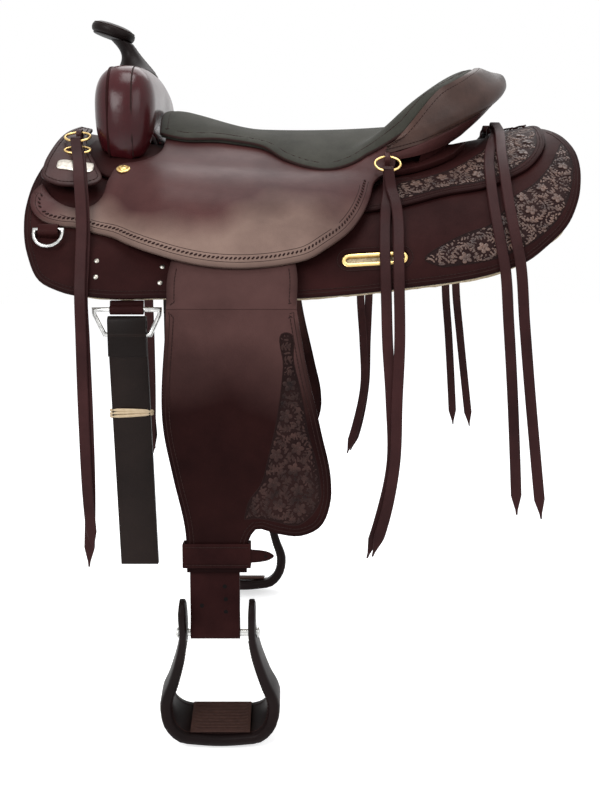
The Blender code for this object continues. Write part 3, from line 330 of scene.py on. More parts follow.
def seat_lift(x: float, across: float, share: Optional[float] = None) -> float:
    """Offset of the seat leather's underside; a share rounds its rise over the stirrup leathers off.

    Args:
        x: place along the saddle.
        across: distance across the back on its arc.
        share: share of a rounded rise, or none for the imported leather's own.

    Returns:
        The offset in millimetres.
    """
    wide = abs(across)
    low = ON_SKIRT + 4.8 * smooth_step((x - 32.0) / 20.0)
    tree = ON_SKIRT + BAR_RISE + 0.7
    tree += 18.0 * smooth_step((-50.0 - x) / 125.0) * bell(wide / 110.0)
    tree += cantle_rise(x, across)
    seat = low + (tree - low) * (1.0 - smooth_step((wide - 150.0) / 75.0))
    reach = BACK_RADIUS + ON_SKIRT + LEATHER_LIFT + LEATHER + STRAP_GAP + FENDER + 1.6
    angle = wide / BACK_RADIUS + asin(BACK_PEAK / reach) - radians(LEATHER_SLOPE)
    over_leather = reach / cos(min(abs(angle), 0.28 if share is None else 0.5)) - BACK_RADIUS
    need = over_leather - seat
    if share is None:
        return seat + max(need, 0.0) * shelf(x, across)
    return seat + 0.5 * (need + (need * need + 20.0) ** 0.5) * share


def shelf(x: float, across: float) -> float:
    """Share by which the seat leather is lifted over the stirrup leathers."""
    return (1.0 - smooth_step((abs(x - SWING_X) - 88.0) / 46.0)) * smooth_step((abs(across) - 175.0) / 50.0)


def seat_top(x: float, across: float) -> float:
    """Offset of the seat leather's outer face."""
    return seat_lift(x, across) + SEAT_LEATHER


def pad_top(x: float, across: float) -> float:
    """Offset of the seat pad's top, thinner towards its edge."""
    middle = 1.0 - smooth_step((abs(across) - 40.0) / 110.0)
    return seat_lift(x, across) + SEAT_LEATHER + PAD_EDGE + PAD_CROWN * middle


def front_lift(x: float, across: float) -> float:
    """Offset of a front jockey's underside."""
    return ON_SKIRT + BAR_RISE - 1.6 * smooth_step((110.0 - abs(across)) / 60.0)


def front_top(x: float, across: float) -> float:
    """Offset of a front jockey's outer face."""
    return front_lift(x, across) + FRONT_JOCKEY


def over_back(x: float, y: float, offset: float) -> float:
    """Height of the surface at an offset from the back, above a place in plan."""
    reach = BACK_RADIUS + offset
    return spine_height(x) - BACK_RADIUS + (reach * reach - (abs(y) + BACK_PEAK) ** 2) ** 0.5


def across_at(y: float, offset: float) -> float:
    """Distance across the back of a point at y and an offset."""
    reach = BACK_RADIUS + offset
    return BACK_RADIUS * (asin((abs(y) + BACK_PEAK) / reach) - asin(BACK_PEAK / reach))


def surface_axes(x: float, across: float, field: Field) -> Axes:
    """Find a point on a draped face with the directions down its slope and out of it.

    Args:
        x: place along the saddle.
        across: distance across the back, negative on the near side.
        field: offset of the face.

    Returns:
        The point, the direction down the slope and the direction out of the face.
    """
    point = on_back(x, across, field(x, across))
    beyond = across + (2.0 if across > 0 else -2.0) * RING_RADIUS
    down = (on_back(x, beyond, field(x, beyond)) - point).normalized()
    out = down.cross(Vector((1.0, 0.0, 0.0))).normalized()
    return point, down, out if out.z > 0 else -out


# Mesh tools

def cover(points: np.ndarray, loop: np.ndarray) -> np.ndarray:
    """Tell which flat points lie inside a closed loop.

    Args:
        points: flat points.
        loop: the loop's corners.

    Returns:
        A truth value for each point.
    """
    a = loop[None, :, :]
    b = np.roll(loop, -1, axis=0)[None, :, :]
    px = points[:, 0:1]
    py = points[:, 1:2]
    straddles = (a[..., 1] > py) != (b[..., 1] > py)
    rise = np.where(b[..., 1] == a[..., 1], 1e-9, b[..., 1] - a[..., 1])
    crossing = a[..., 0] + (b[..., 0] - a[..., 0]) * (py - a[..., 1]) / rise
    return (straddles & (px < crossing)).sum(axis=1) % 2 == 1


def rim_distance(points: np.ndarray, loops: Sequence[np.ndarray]) -> np.ndarray:
    """Measure how far each flat point lies from the nearest edge of any loop.

    Args:
        points: flat points.
        loops: the loops' corners.

    Returns:
        A distance for each point.
    """
    nearest = np.full(len(points), 1e9)
    for loop in loops:
        a = loop[None, :, :]
        edge = np.roll(loop, -1, axis=0)[None, :, :] - a
        reach = points[:, None, :] - a
        share = np.clip((reach * edge).sum(-1) / np.maximum((edge * edge).sum(-1), 1e-9), 0.0, 1.0)
        gap = np.linalg.norm(reach - edge * share[..., None], axis=-1).min(axis=1)
        nearest = np.minimum(nearest, gap)
    return nearest


def linked(name: str, data: bpy.types.ID) -> Piece:
    """Put a new object with some data into the scene.

    Args:
        name: name of the new object.
        data: its mesh, lamp or camera.

    Returns:
        The object.
    """
    piece = bpy.data.objects.new(name, data)
    bpy.context.collection.objects.link(piece)
    return piece


@contextmanager
def edited(mesh: bpy.types.Mesh) -> Iterator[bmesh.types.BMesh]:
    """Open a mesh for changes, and write them back.

    Args:
        mesh: the mesh to change.

    Returns:
        Its data, open for changes.
    """
    data = bmesh.new()
    data.from_mesh(mesh)
    yield data
    data.to_mesh(mesh)
    data.free()


@dataclass
class Sheet:
    """Closed sheet of leather cut to flat loops and laid on a surface between two offsets."""

    loops: list[list[Vector]]
    surface: Surface
    outer: Field
    inner: Field
    spacing: float = 9.0

    def build(self, name: str, finish: "Finish", bevel: float = 1.1) -> Piece:
        """Make the sheet.

        Args:
            name: name of the new piece.
            finish: what covers it.
            bevel: width of its rounded edges in millimetres, or 0 for none.

        Returns:
            The finished piece.
        """
        loops = [np.array([tuple(p) for p in loop]) for loop in self.loops]
        low = loops[0].min(0)
        high = loops[0].max(0)
        cols = np.arange(low[0] // self.spacing - 1, high[0] // self.spacing + 2)
        row = 0.87 * self.spacing
        grid = np.array([((c + 0.5 * (r % 2)) * self.spacing, r * self.spacing * 0.87)
                         for r in np.arange(low[1] // row, high[1] // row + 2) for c in cols])
        keep = cover(grid, loops[0])
        for hole in loops[1:]:
            keep &= ~cover(grid, hole)
        grid = grid[keep]
        grid = grid[rim_distance(grid, loops) > 0.45 * self.spacing]
        points = [Vector(p) for loop in loops for p in loop] + [Vector(p) for p in grid]
        edges = []
        start = 0
        for loop in loops:
            edges += [(start + i, start + (i + 1) % len(loop)) for i in range(len(loop))]
            start += len(loop)
        flat, _, faces, *_ = delaunay_2d_cdt(points, edges, [], 0, 1e-4)
        centres = np.array([tuple(sum((flat[i] for i in f), Vector((0.0, 0.0))) / len(f)) for f in faces])
        keep = cover(centres, loops[0])
        for hole in loops[1:]:
            keep &= ~cover(centres, hole)
        faces = [tuple(f) for f, good in zip(faces, keep) if good]
        rim = rim_distance(np.array([tuple(p) for p in flat]), loops)
        return self._raise_walls(name, flat, faces, rim, finish, bevel)

    def _raise_walls(self, name: str, flat: Path, faces: Sequence[tuple[int, ...]], rim: np.ndarray,
                     finish: "Finish", bevel: float) -> Piece:
        """Turn flat faces into the two skins and the wall between them.

        Args:
            name: name of the new piece.
            flat: flat points.
            faces: faces between them.
            rim: each point's distance to the edge.
            finish: what covers it.
            bevel: width of its rounded edges in millimetres, or 0.

        Returns:
            The new piece.
        """
        verts: list[Vector] = []
        rims: list[float] = []
        for field in (self.outer, self.inner):
            for p, gap in zip(flat, rim):
                verts.append(self.surface(p.x, p.y, field(p.x, p.y)) * MM)
                rims.append(max(0.0, 1.0 - gap / 14.0))
        count = len(flat)
        sides: dict[frozenset, list[tuple[int, int]]] = {}
        skins = []
        for face in faces:
            skins.append(tuple(face))
            skins.append(tuple(i + count for i in reversed(face)))
            for a, b in zip(face, face[1:] + face[:1]):
                sides.setdefault(frozenset((a, b)), []).append((a, b))
        walls = [(b, a, a + count, b + count) for (a, b), *more in sides.values() if not more]
        piece = mesh_piece(name, verts, skins + walls, finish, attributes={"rim": rims})
        return rounded(piece, bevel) if bevel else piece


def mesh_piece(name: str, verts: Path, faces: Sequence[tuple[int, ...]], finish: "Finish",
               attributes: Optional[dict[str, list[float]]] = None, sharp: float = 42.0) -> Piece:
    """Make a closed piece from points in metres, with its faces turned outwards.

    Args:
        name: name of the new piece.
        verts: its points.
        faces: its faces, as indices of points.
        finish: what covers it.
        attributes: numbers for each point, by name.
        sharp: angle in degrees from which an edge looks sharp.

    Returns:
        The new piece, at the origin.
    """
    mesh = bpy.data.meshes.new(name)
    mesh.from_pydata([tuple(v) for v in verts], [], list(faces))
    for key, values in (attributes or {}).items():
        mesh.attributes.new(key, "FLOAT", "POINT").data.foreach_set("value", values)
    with edited(mesh) as data:
        bmesh.ops.delete(data, geom=[v for v in data.verts if not v.link_faces], context="VERTS")
        bmesh.ops.recalc_face_normals(data, faces=data.faces[:])
    mesh.shade_smooth()
    mesh.set_sharp_from_angle(angle=radians(sharp))
    mesh.materials.append(finish.material())
    return linked(name, mesh)


def settle(piece: Piece, sharp: float = 42.0) -> Piece:
    """Turn a piece with modifiers into a plain mesh and take the modifiers off.

    Args:
        piece: the piece.
        sharp: angle in degrees from which an edge looks sharp.

    Returns:
        The same piece.
    """
    graph = bpy.context.evaluated_depsgraph_get()
    plain = bpy.data.meshes.new_from_object(piece.evaluated_get(graph), depsgraph=graph)
    piece.modifiers.clear()
    piece.data = plain
    plain.shade_smooth()
    plain.set_sharp_from_angle(angle=radians(sharp))
    return piece


def rounded(piece: Piece, width: float, segments: int = 2) -> Piece:
    """Round the sharp edges of a piece by a width in millimetres.

    Args:
        piece: the piece.
        width: width of the rounding.
        segments: number of its steps.

    Returns:
        The same piece.
    """
    bevel = piece.modifiers.new("rounded edges", "BEVEL")
    bevel.width = width * MM
    bevel.segments = segments
    bevel.limit_method = "ANGLE"
    bevel.angle_limit = radians(50.0)
    bevel.harden_normals = False
    return settle(piece)


def smoothed(piece: Piece, levels: int = 2) -> Piece:
    """Subdivide a piece into a smooth one.

    Args:
        piece: the piece.
        levels: how often it is subdivided.

    Returns:
        The same piece.
    """
    soften = piece.modifiers.new("smooth", "SUBSURF")
    soften.levels = levels
    soften.render_levels = levels
    return settle(piece, 60.0)


def loft(name: str, rings: Sequence[Path], finish: "Finish", capped: bool = True,
         sharp: float = 42.0) -> Piece:
    """Make a closed body through rings of equally many points in millimetres.

    Args:
        name: name of the new piece.
        rings: the rings in order.
        finish: what covers it.
        capped: whether its two ends are closed, instead of joined to each other.
        sharp: angle in degrees from which an edge looks sharp.

    Returns:
        The new piece.
    """
    count = len(rings[0])
    verts = [p * MM for ring in rings for p in ring]
    faces = []
    total = len(rings)
    for k in range(total - 1 if capped else total):
        a = k * count
        b = ((k + 1) % total) * count
        faces += [(a + i, a + (i + 1) % count, b + (i + 1) % count, b + i) for i in range(count)]
    if capped:
        for start, centre in ((0, rings[0]), ((total - 1) * count, rings[-1])):
            verts.append(sum(centre, Vector()) / count * MM)
            faces += [(start + i, start + (i + 1) % count, len(verts) - 1) for i in range(count)]
    return mesh_piece(name, verts, faces, finish, sharp=sharp)


def ring_points(centre: Vector, first: Vector, second: Vector, radii: Pair, count: int) -> list[Vector]:
    """Points round an ellipse in the plane of two directions."""
    return [centre + first * (radii[0] * cos(2 * pi * i / count)) + second * (radii[1] * sin(2 * pi * i / count))
            for i in range(count)]


def tube(name: str, path: Path, radius: float, finish: "Finish", closed: bool = False,
         count: int = 14) -> Piece:
    """Make a round wire along a path in millimetres.

    Args:
        name: name of the new piece.
        path: its middle line.
        radius: its radius in millimetres.
        finish: what covers it.
        closed: whether its ends meet.
        count: number of points round it.

    Returns:
        The new piece.
    """
    rings = []
    total = len(path)
    reference = Vector((0.0, 0.0, 1.0))
    for i, point in enumerate(path):
        before = path[i - 1] if i or closed else point
        after = path[(i + 1) % total] if i < total - 1 or closed else point
        along = (after - before).normalized()
        side = along.cross(reference)
        side = (side if side.length > 0.2 else along.cross(Vector((0.0, 1.0, 0.0)))).normalized()
        if rings and side.dot(last) < 0:
            side = -side
        last = side
        rings.append(ring_points(point, side, along.cross(side), (radius, radius), count))
    return loft(name, rings, finish, capped=not closed)


def lathe(name: str, start: Vector, axis: Vector, profile: Sequence[Pair], finish: "Finish",
          count: int = 32) -> Piece:
    """Make a turned piece: (height, radius) pairs in millimetres along an axis.

    Args:
        name: name of the new piece.
        start: foot of the axis.
        axis: direction of the axis.
        profile: heights and radii.
        finish: what covers it.
        count: number of points round it.

    Returns:
        The new piece.
    """
    first = axis.orthogonal().normalized()
    second = axis.cross(first)
    return loft(name, [ring_points(start + axis * h, first, second, (r, r), count) for h, r in profile], finish)


def place(piece: Piece, finish: "Finish", *nodes: str, body: str = "saddle") -> Piece:
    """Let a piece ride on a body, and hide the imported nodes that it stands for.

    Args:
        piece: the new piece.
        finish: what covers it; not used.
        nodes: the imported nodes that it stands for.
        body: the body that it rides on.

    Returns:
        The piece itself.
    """
    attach(piece, body)
    if nodes:
        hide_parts(*nodes)
    LOG.info("%s rides on %s", piece.name, body)
    return piece


# Finishes

class Graph:
    """Short way to add nodes to a node tree and join them."""

    def __init__(self, tree: NodeTree) -> None:
        """Work on one tree."""
        self.tree = tree

    def add(self, kind: str, inputs: Optional[dict] = None, **settings: object) -> Node:
        """Add a node.

        Args:
            kind: Blender's name of the node's type.
            inputs: a value, or an output socket to join, for each input, by name or index.
            settings: properties of the node itself.

        Returns:
            The new node.
        """
        node = self.tree.nodes.new(kind)
        for key, value in settings.items():
            setattr(node, key, value)
        return self.give(node, inputs or {})

    def give(self, node: Node, inputs: dict) -> Node:
        """Set or join inputs of a node.

        Args:
            node: the node.
            inputs: a value, or an output socket to join, for each input, by name or index.

        Returns:
            The node.
        """
        for key, value in inputs.items():
            if isinstance(value, Socket):
                self.tree.links.new(value, node.inputs[key])
            else:
                node.inputs[key].default_value = value
        return node

    def here(self) -> Socket:
        """Give the place on the object."""
        return self.add("ShaderNodeTexCoord").outputs["Object"]

    def math(self, operation: str, first: object, second: object = 0.0) -> Socket:
        """Join a Math node and give its result."""
        return self.add("ShaderNodeMath", {0: first, 1: second}, operation=operation).outputs[0]

    def spread(self, value: Socket, low: float, high: float, to_low: float,
               to_high: float) -> Socket:
        """Spread a value from one range onto another."""
        return self.add("ShaderNodeMapRange", {"Value": value, "From Min": low, "From Max": high, "To Min": to_low,
                                               "To Max": to_high}).outputs[0]

    def blend(self, share: object, first: object, second: object) -> Socket:
        """Mix two colours, each a socket or three numbers.

        Args:
            share: how much of the second shows.
            first: the first colour.
            second: the second colour.

        Returns:
            The mixed colour.
        """
        node = self.add("ShaderNodeMix", data_type="RGBA")
        colours = [(*c, 1.0) if isinstance(c, tuple) else c for c in (first, second)]
        return self.give(node, {0: share, 6: colours[0], 7: colours[1]}).outputs[2]


def hide_group() -> NodeTree:
    """Build once the shared effect of a hide: its uneven dye, its pores and its fine creases.

    Returns:
        The group, with its dye, height and crease.
    """
    known = bpy.data.node_groups.get("hide surface")
    if known:
        return known
    tree = bpy.data.node_groups.new("hide surface", "ShaderNodeTree")
    for name, kind in (("Vector", "NodeSocketVector"), ("Pores", "NodeSocketFloat"), ("Patches", "NodeSocketFloat")):
        tree.interface.new_socket(name, in_out="INPUT", socket_type=kind)
    for name in ("Dye", "Height", "Crease"):
        tree.interface.new_socket(name, in_out="OUTPUT", socket_type="NodeSocketFloat")
    graph = Graph(tree)
    given = graph.add("NodeGroupInput")
    patches = graph.add("ShaderNodeTexNoise", {"Vector": given.outputs["Vector"], "Scale": given.outputs["Patches"],
                                               "Detail": 6.0, "Roughness": 0.62})
    pores = graph.add("ShaderNodeTexVoronoi", {"Vector": given.outputs["Vector"], "Scale": given.outputs["Pores"]})
    grain = graph.add("ShaderNodeTexNoise", {"Vector": given.outputs["Vector"],
                                             "Scale": graph.math("MULTIPLY", given.outputs["Pores"], 0.4),
                                             "Detail": 4.0})
    crease = graph.add("ShaderNodeTexNoise", {"Vector": given.outputs["Vector"], "Scale": 46.0, "Detail": 3.0,
                                              "Distortion": 1.6})
    fine = graph.math("ADD", graph.math("MULTIPLY", pores.outputs["Distance"], 0.45),
                      graph.math("MULTIPLY", grain.outputs["Fac"], 0.4))
    whole = graph.math("ADD", fine, graph.math("MULTIPLY", crease.outputs["Fac"], 0.5))
    dye = graph.spread(patches.outputs["Fac"], 0.32, 0.7, 0.0, 1.0)
    graph.add("NodeGroupOutput", {"Dye": dye, "Height": whole, "Crease": crease.outputs["Fac"]})
    return tree


@dataclass(frozen=True)
class Finish:
    """Plain finish; the kinds below add what their surface shows."""

    name: str
    slot: str
    deep: tuple[float, float, float]
    light: tuple[float, float, float]
    roughness: float

    def material(self) -> bpy.types.Material:
        """Give the material, which is built the first time.

        Returns:
            The material.
        """
        known = bpy.data.materials.get(self.name)
        if known:
            return known
        made = bpy.data.materials.new(self.name)
        made.use_nodes = True
        graph = Graph(made.node_tree)
        self.dress(graph, made.node_tree.nodes["Principled BSDF"])
        return made

    def dress(self, graph: Graph, shader: Node) -> None:
        """Join the nodes of this finish to its shader."""
        raise NotImplementedError

    def skin(self, graph: Graph, shader: Node, pores: float, patches: float, depth: float,
             swing: float) -> Node:
        """Join the shared hide effect.

        Args:
            graph: the material's nodes.
            shader: its shader.
            pores: scale of the pores.
            patches: scale of the uneven dye.
            depth: depth of the grain in metres.
            swing: how far the roughness goes both ways.

        Returns:
            The node of the effect.
        """
        hide = graph.add("ShaderNodeGroup", node_tree=hide_group())
        graph.give(hide, {"Vector": graph.here(), "Pores": pores, "Patches": patches})
        rough = graph.spread(hide.outputs["Dye"], 0.0, 1.0, self.roughness + swing, self.roughness - swing)
        bump = graph.add("ShaderNodeBump", {"Height": hide.outputs["Height"], "Strength": 0.35, "Distance": depth})
        graph.give(shader, {"Roughness": rough, "Normal": bump.outputs["Normal"]})
        return hide

    def noise(self, graph: Graph, scale: float, detail: float, **more: float) -> Socket:
        """Give a noise over the object."""
        return graph.add("ShaderNodeTexNoise", {"Vector": graph.here(), "Scale": scale, "Detail": detail,
                                                **more}).outputs["Fac"]


@dataclass(frozen=True)
class Leather(Finish):
    """Oiled leather with uneven dye, pores, creases, burnished edges and, where given, a painted highlight band."""

    pores: float = 750.0
    depth: float = 0.00035
    coat: float = 0.0
    gloss: float = 0.1
    patches: float = 9.0
    # Colour of a painted highlight band, and the heights in metres where it begins and where it is full.
    worn: Optional[tuple[float, float, float]] = None
    zone: Pair = (-0.04, -0.078)

    def dress(self, graph: Graph, shader: Node) -> None:
        """Join dye, darker edges, grain and any painted highlight band.

        Args:
            graph: the material's nodes.
            shader: its shader.
        """
        hide = self.skin(graph, shader, self.pores, self.patches, self.depth, 0.06)
        dyed = graph.blend(hide.outputs["Dye"], self.deep, self.light)
        # Paint a highlight band into the dye, where one is given.
        if self.worn:
            dyed = self._worn(graph, hide, dyed)
        rim = graph.add("ShaderNodeAttribute", attribute_name="rim")
        burnt = graph.math("MULTIPLY", graph.math("POWER", rim.outputs["Fac"], 2.0), 0.55)
        graph.give(shader, {"Base Color": graph.blend(burnt, dyed, tuple(0.45 * c for c in self.deep)),
                            "Coat Weight": self.coat, "Coat Roughness": 0.3, "Specular IOR Level": self.gloss})

    def _worn(self, graph: Graph, hide: Node, dyed: Socket) -> Socket:
        """Paint a highlight into the dye: a lighter band of height, where lamp light glints on the leather, which a
        slow noise breaks up.

        Args:
            graph: the material's nodes.
            hide: the node of the shared hide effect.
            dyed: the leather's dyed colour.

        Returns:
            The colour with its painted highlight band.
        """
        spot = graph.add("ShaderNodeSeparateXYZ", {0: graph.here()})
        slow = graph.spread(self.noise(graph, 7.0, 2.0), 0.3, 0.7, -0.024, 0.024)
        band = graph.math("MULTIPLY", graph.spread(graph.math("ADD", spot.outputs["Z"], slow), *self.zone, 0.0, 1.0),
                          graph.spread(spot.outputs["X"], 0.0, 0.085, 1.0, 0.3))
        share = graph.math("MULTIPLY", band, graph.spread(hide.outputs["Dye"], 0.0, 1.0, 0.45, 0.8))
        return graph.blend(share, dyed, self.worn)


@dataclass(frozen=True)
class Suede(Finish):
    """Rough-out leather with a short nap that lies in patches."""

    def dress(self, graph: Graph, shader: Node) -> None:
        """Join the nap's patches and its fine fibres.

        Args:
            graph: the material's nodes.
            shader: its shader.
        """
        hide = self.skin(graph, shader, 1500.0, 14.0, 0.0006, 0.04)
        nap = graph.math("ADD", graph.math("MULTIPLY", hide.outputs["Dye"], 0.65),
                         graph.math("MULTIPLY", self.noise(graph, 420.0, 2.0), 0.35))
        graph.give(shader, {"Base Color": graph.blend(nap, self.deep, self.light), "Sheen Weight": 0.05,
                            "Specular IOR Level": 0.12, "Sheen Roughness": 0.6})


@dataclass(frozen=True)
class Wool(Finish):
    """Fleece with matted locks."""

    def dress(self, graph: Graph, shader: Node) -> None:
        """Join the locks' colour and their relief.

        Args:
            graph: the material's nodes.
            shader: its shader.
        """
        locks = self.noise(graph, 130.0, 5.0, Distortion=2.5)
        bump = graph.add("ShaderNodeBump", {"Height": locks, "Strength": 0.8, "Distance": 0.003})
        share = graph.spread(locks, 0.3, 0.7, 0.0, 1.0)
        graph.give(shader, {"Base Color": graph.blend(share, self.deep, self.light), "Roughness": self.roughness,
                            "Normal": bump.outputs["Normal"], "Sheen Weight": 0.15, "Specular IOR Level": 0.1})


@dataclass(frozen=True)
class Metal(Finish):
    """Polished metal with light handling marks."""

    def dress(self, graph: Graph, shader: Node) -> None:
        """Join tarnish and scratches.

        Args:
            graph: the material's nodes.
            shader: its shader.
        """
        marks = self.noise(graph, 160.0, 4.0)
        share = graph.spread(marks, 0.35, 0.75, 0.0, 1.0)
        rough = graph.spread(marks, 0.3, 0.7, self.roughness - 0.06, self.roughness + 0.1)
        graph.give(shader, {"Base Color": graph.blend(share, self.light, self.deep), "Roughness": rough,
                            "Metallic": 1.0})


@dataclass(frozen=True)
class Matte(Finish):
    """Plain matte stuff, such as thread, rubber, wood or the painted shade inside a hole."""

    def dress(self, graph: Graph, shader: Node) -> None:
        """Join a little unevenness."""
        graph.give(shader, {"Base Color": graph.blend(self.noise(graph, 210.0, 3.0), self.deep, self.light),
                            "Roughness": self.roughness, "Specular IOR Level": 0.1})


# The seat leather carries a painted highlight band, low on its jockeys.
BURGUNDY = Leather("burgundy seat leather", "burgundy_leather", (0.034, 0.011, 0.011), (0.070, 0.026, 0.024), 0.42,
                   gloss=0.11, worn=(0.25, 0.172, 0.138))
SKIRTING = Leather("burgundy skirting leather", "burgundy_leather", (0.012, 0.0035, 0.0035), (0.029, 0.0085, 0.008),
                   0.5, gloss=0.03)
# Skirting leather darkened to paint the shade on the upright fender; its painted highlight band lies on its upper part.
SHADED_FENDER_HIDE = Leather("fender leather", "burgundy_leather", (0.008, 0.0022, 0.0022), (0.019, 0.0055, 0.005), 0.45,
                      gloss=0.03, worn=(0.095, 0.048, 0.044), zone=(-0.29, -0.19))
SADDLE = Leather("saddle leather", "burgundy_leather", (0.022, 0.007, 0.007), (0.060, 0.024, 0.022), 0.4, gloss=0.12)
SWELL = Leather("polished swell leather", "burgundy_leather", (0.022, 0.0025, 0.0035), (0.054, 0.007, 0.009), 0.2,
                gloss=0.25)
# Raised leaves and flowers are painted far lighter than the plain leather: partly a painted highlight where light
# catches the carving, partly their own uneven dye.
TOOLED = Leather("tooled leather", "burgundy_leather", (0.018, 0.007, 0.006), (0.140, 0.080, 0.060), 0.36,
                 patches=55.0, gloss=0.3)
# Darker copy of the tooled leather, which paints the shade on the fender's upright carving.
SHADED_TOOLED = Leather("dark tooled leather", "burgundy_leather", (0.007, 0.003, 0.003), (0.050, 0.024, 0.020), 0.4,
                      patches=55.0)
GROUND = Leather("stippled background", "burgundy_leather", (0.008, 0.003, 0.003), (0.022, 0.009, 0.008), 0.6,
                 pores=420.0, depth=0.0012, gloss=0.06)
ROLL = Leather("cantle leather", "burgundy_leather", (0.009, 0.0035, 0.003), (0.078, 0.042, 0.033), 0.34, coat=0.05,
               gloss=0.15)
HORN = Leather("dark horn leather", "burgundy_leather", (0.005, 0.003, 0.003), (0.014, 0.009, 0.008), 0.4, gloss=0.08)
LATIGO = Leather("string leather", "latigo_leather", (0.016, 0.005, 0.005), (0.040, 0.013, 0.013), 0.45, gloss=0.08)
BLACK = Leather("oiled black leather", "black_leather", (0.005, 0.0025, 0.002), (0.013, 0.007, 0.0055), 0.46,
                gloss=0.1)
STIRRUP = Leather("stirrup leather", "black_leather", (0.004, 0.002, 0.002), (0.011, 0.005, 0.005), 0.42, gloss=0.07)
SLATE = Suede("slate suede", "slate_suede", (0.017, 0.017, 0.013), (0.046, 0.044, 0.035), 0.85)
FLEECE_WOOL = Wool("cream fleece", "fleece", (0.34, 0.26, 0.15), (0.58, 0.48, 0.33), 0.95)
BRASS = Metal("brass", "brass", (0.20, 0.115, 0.02), (0.50, 0.32, 0.08), 0.34)
STEEL = Metal("stainless steel", "stainless_steel", (0.34, 0.34, 0.33), (0.60, 0.60, 0.58), 0.26)
NICKEL = Metal("nickel plate", "stainless_steel", (0.24, 0.22, 0.19), (0.50, 0.47, 0.42), 0.36)
THREAD = Matte("dark waxed thread", "burgundy_leather", (0.010, 0.004, 0.004), (0.028, 0.012, 0.010), 0.7)
# Near-black matte that paints the shade inside punched holes.
HOLE_SHADE = Matte("dark of a hole", "burgundy_leather", (0.003, 0.002, 0.002), (0.006, 0.004, 0.004), 0.9)
TREAD = Matte("tread leather", "tread_leather", (0.022, 0.010, 0.008), (0.062, 0.030, 0.024), 0.6)
BAND = Matte("tan twisted band", "latigo_leather", (0.42, 0.31, 0.19), (0.62, 0.50, 0.34), 0.7)
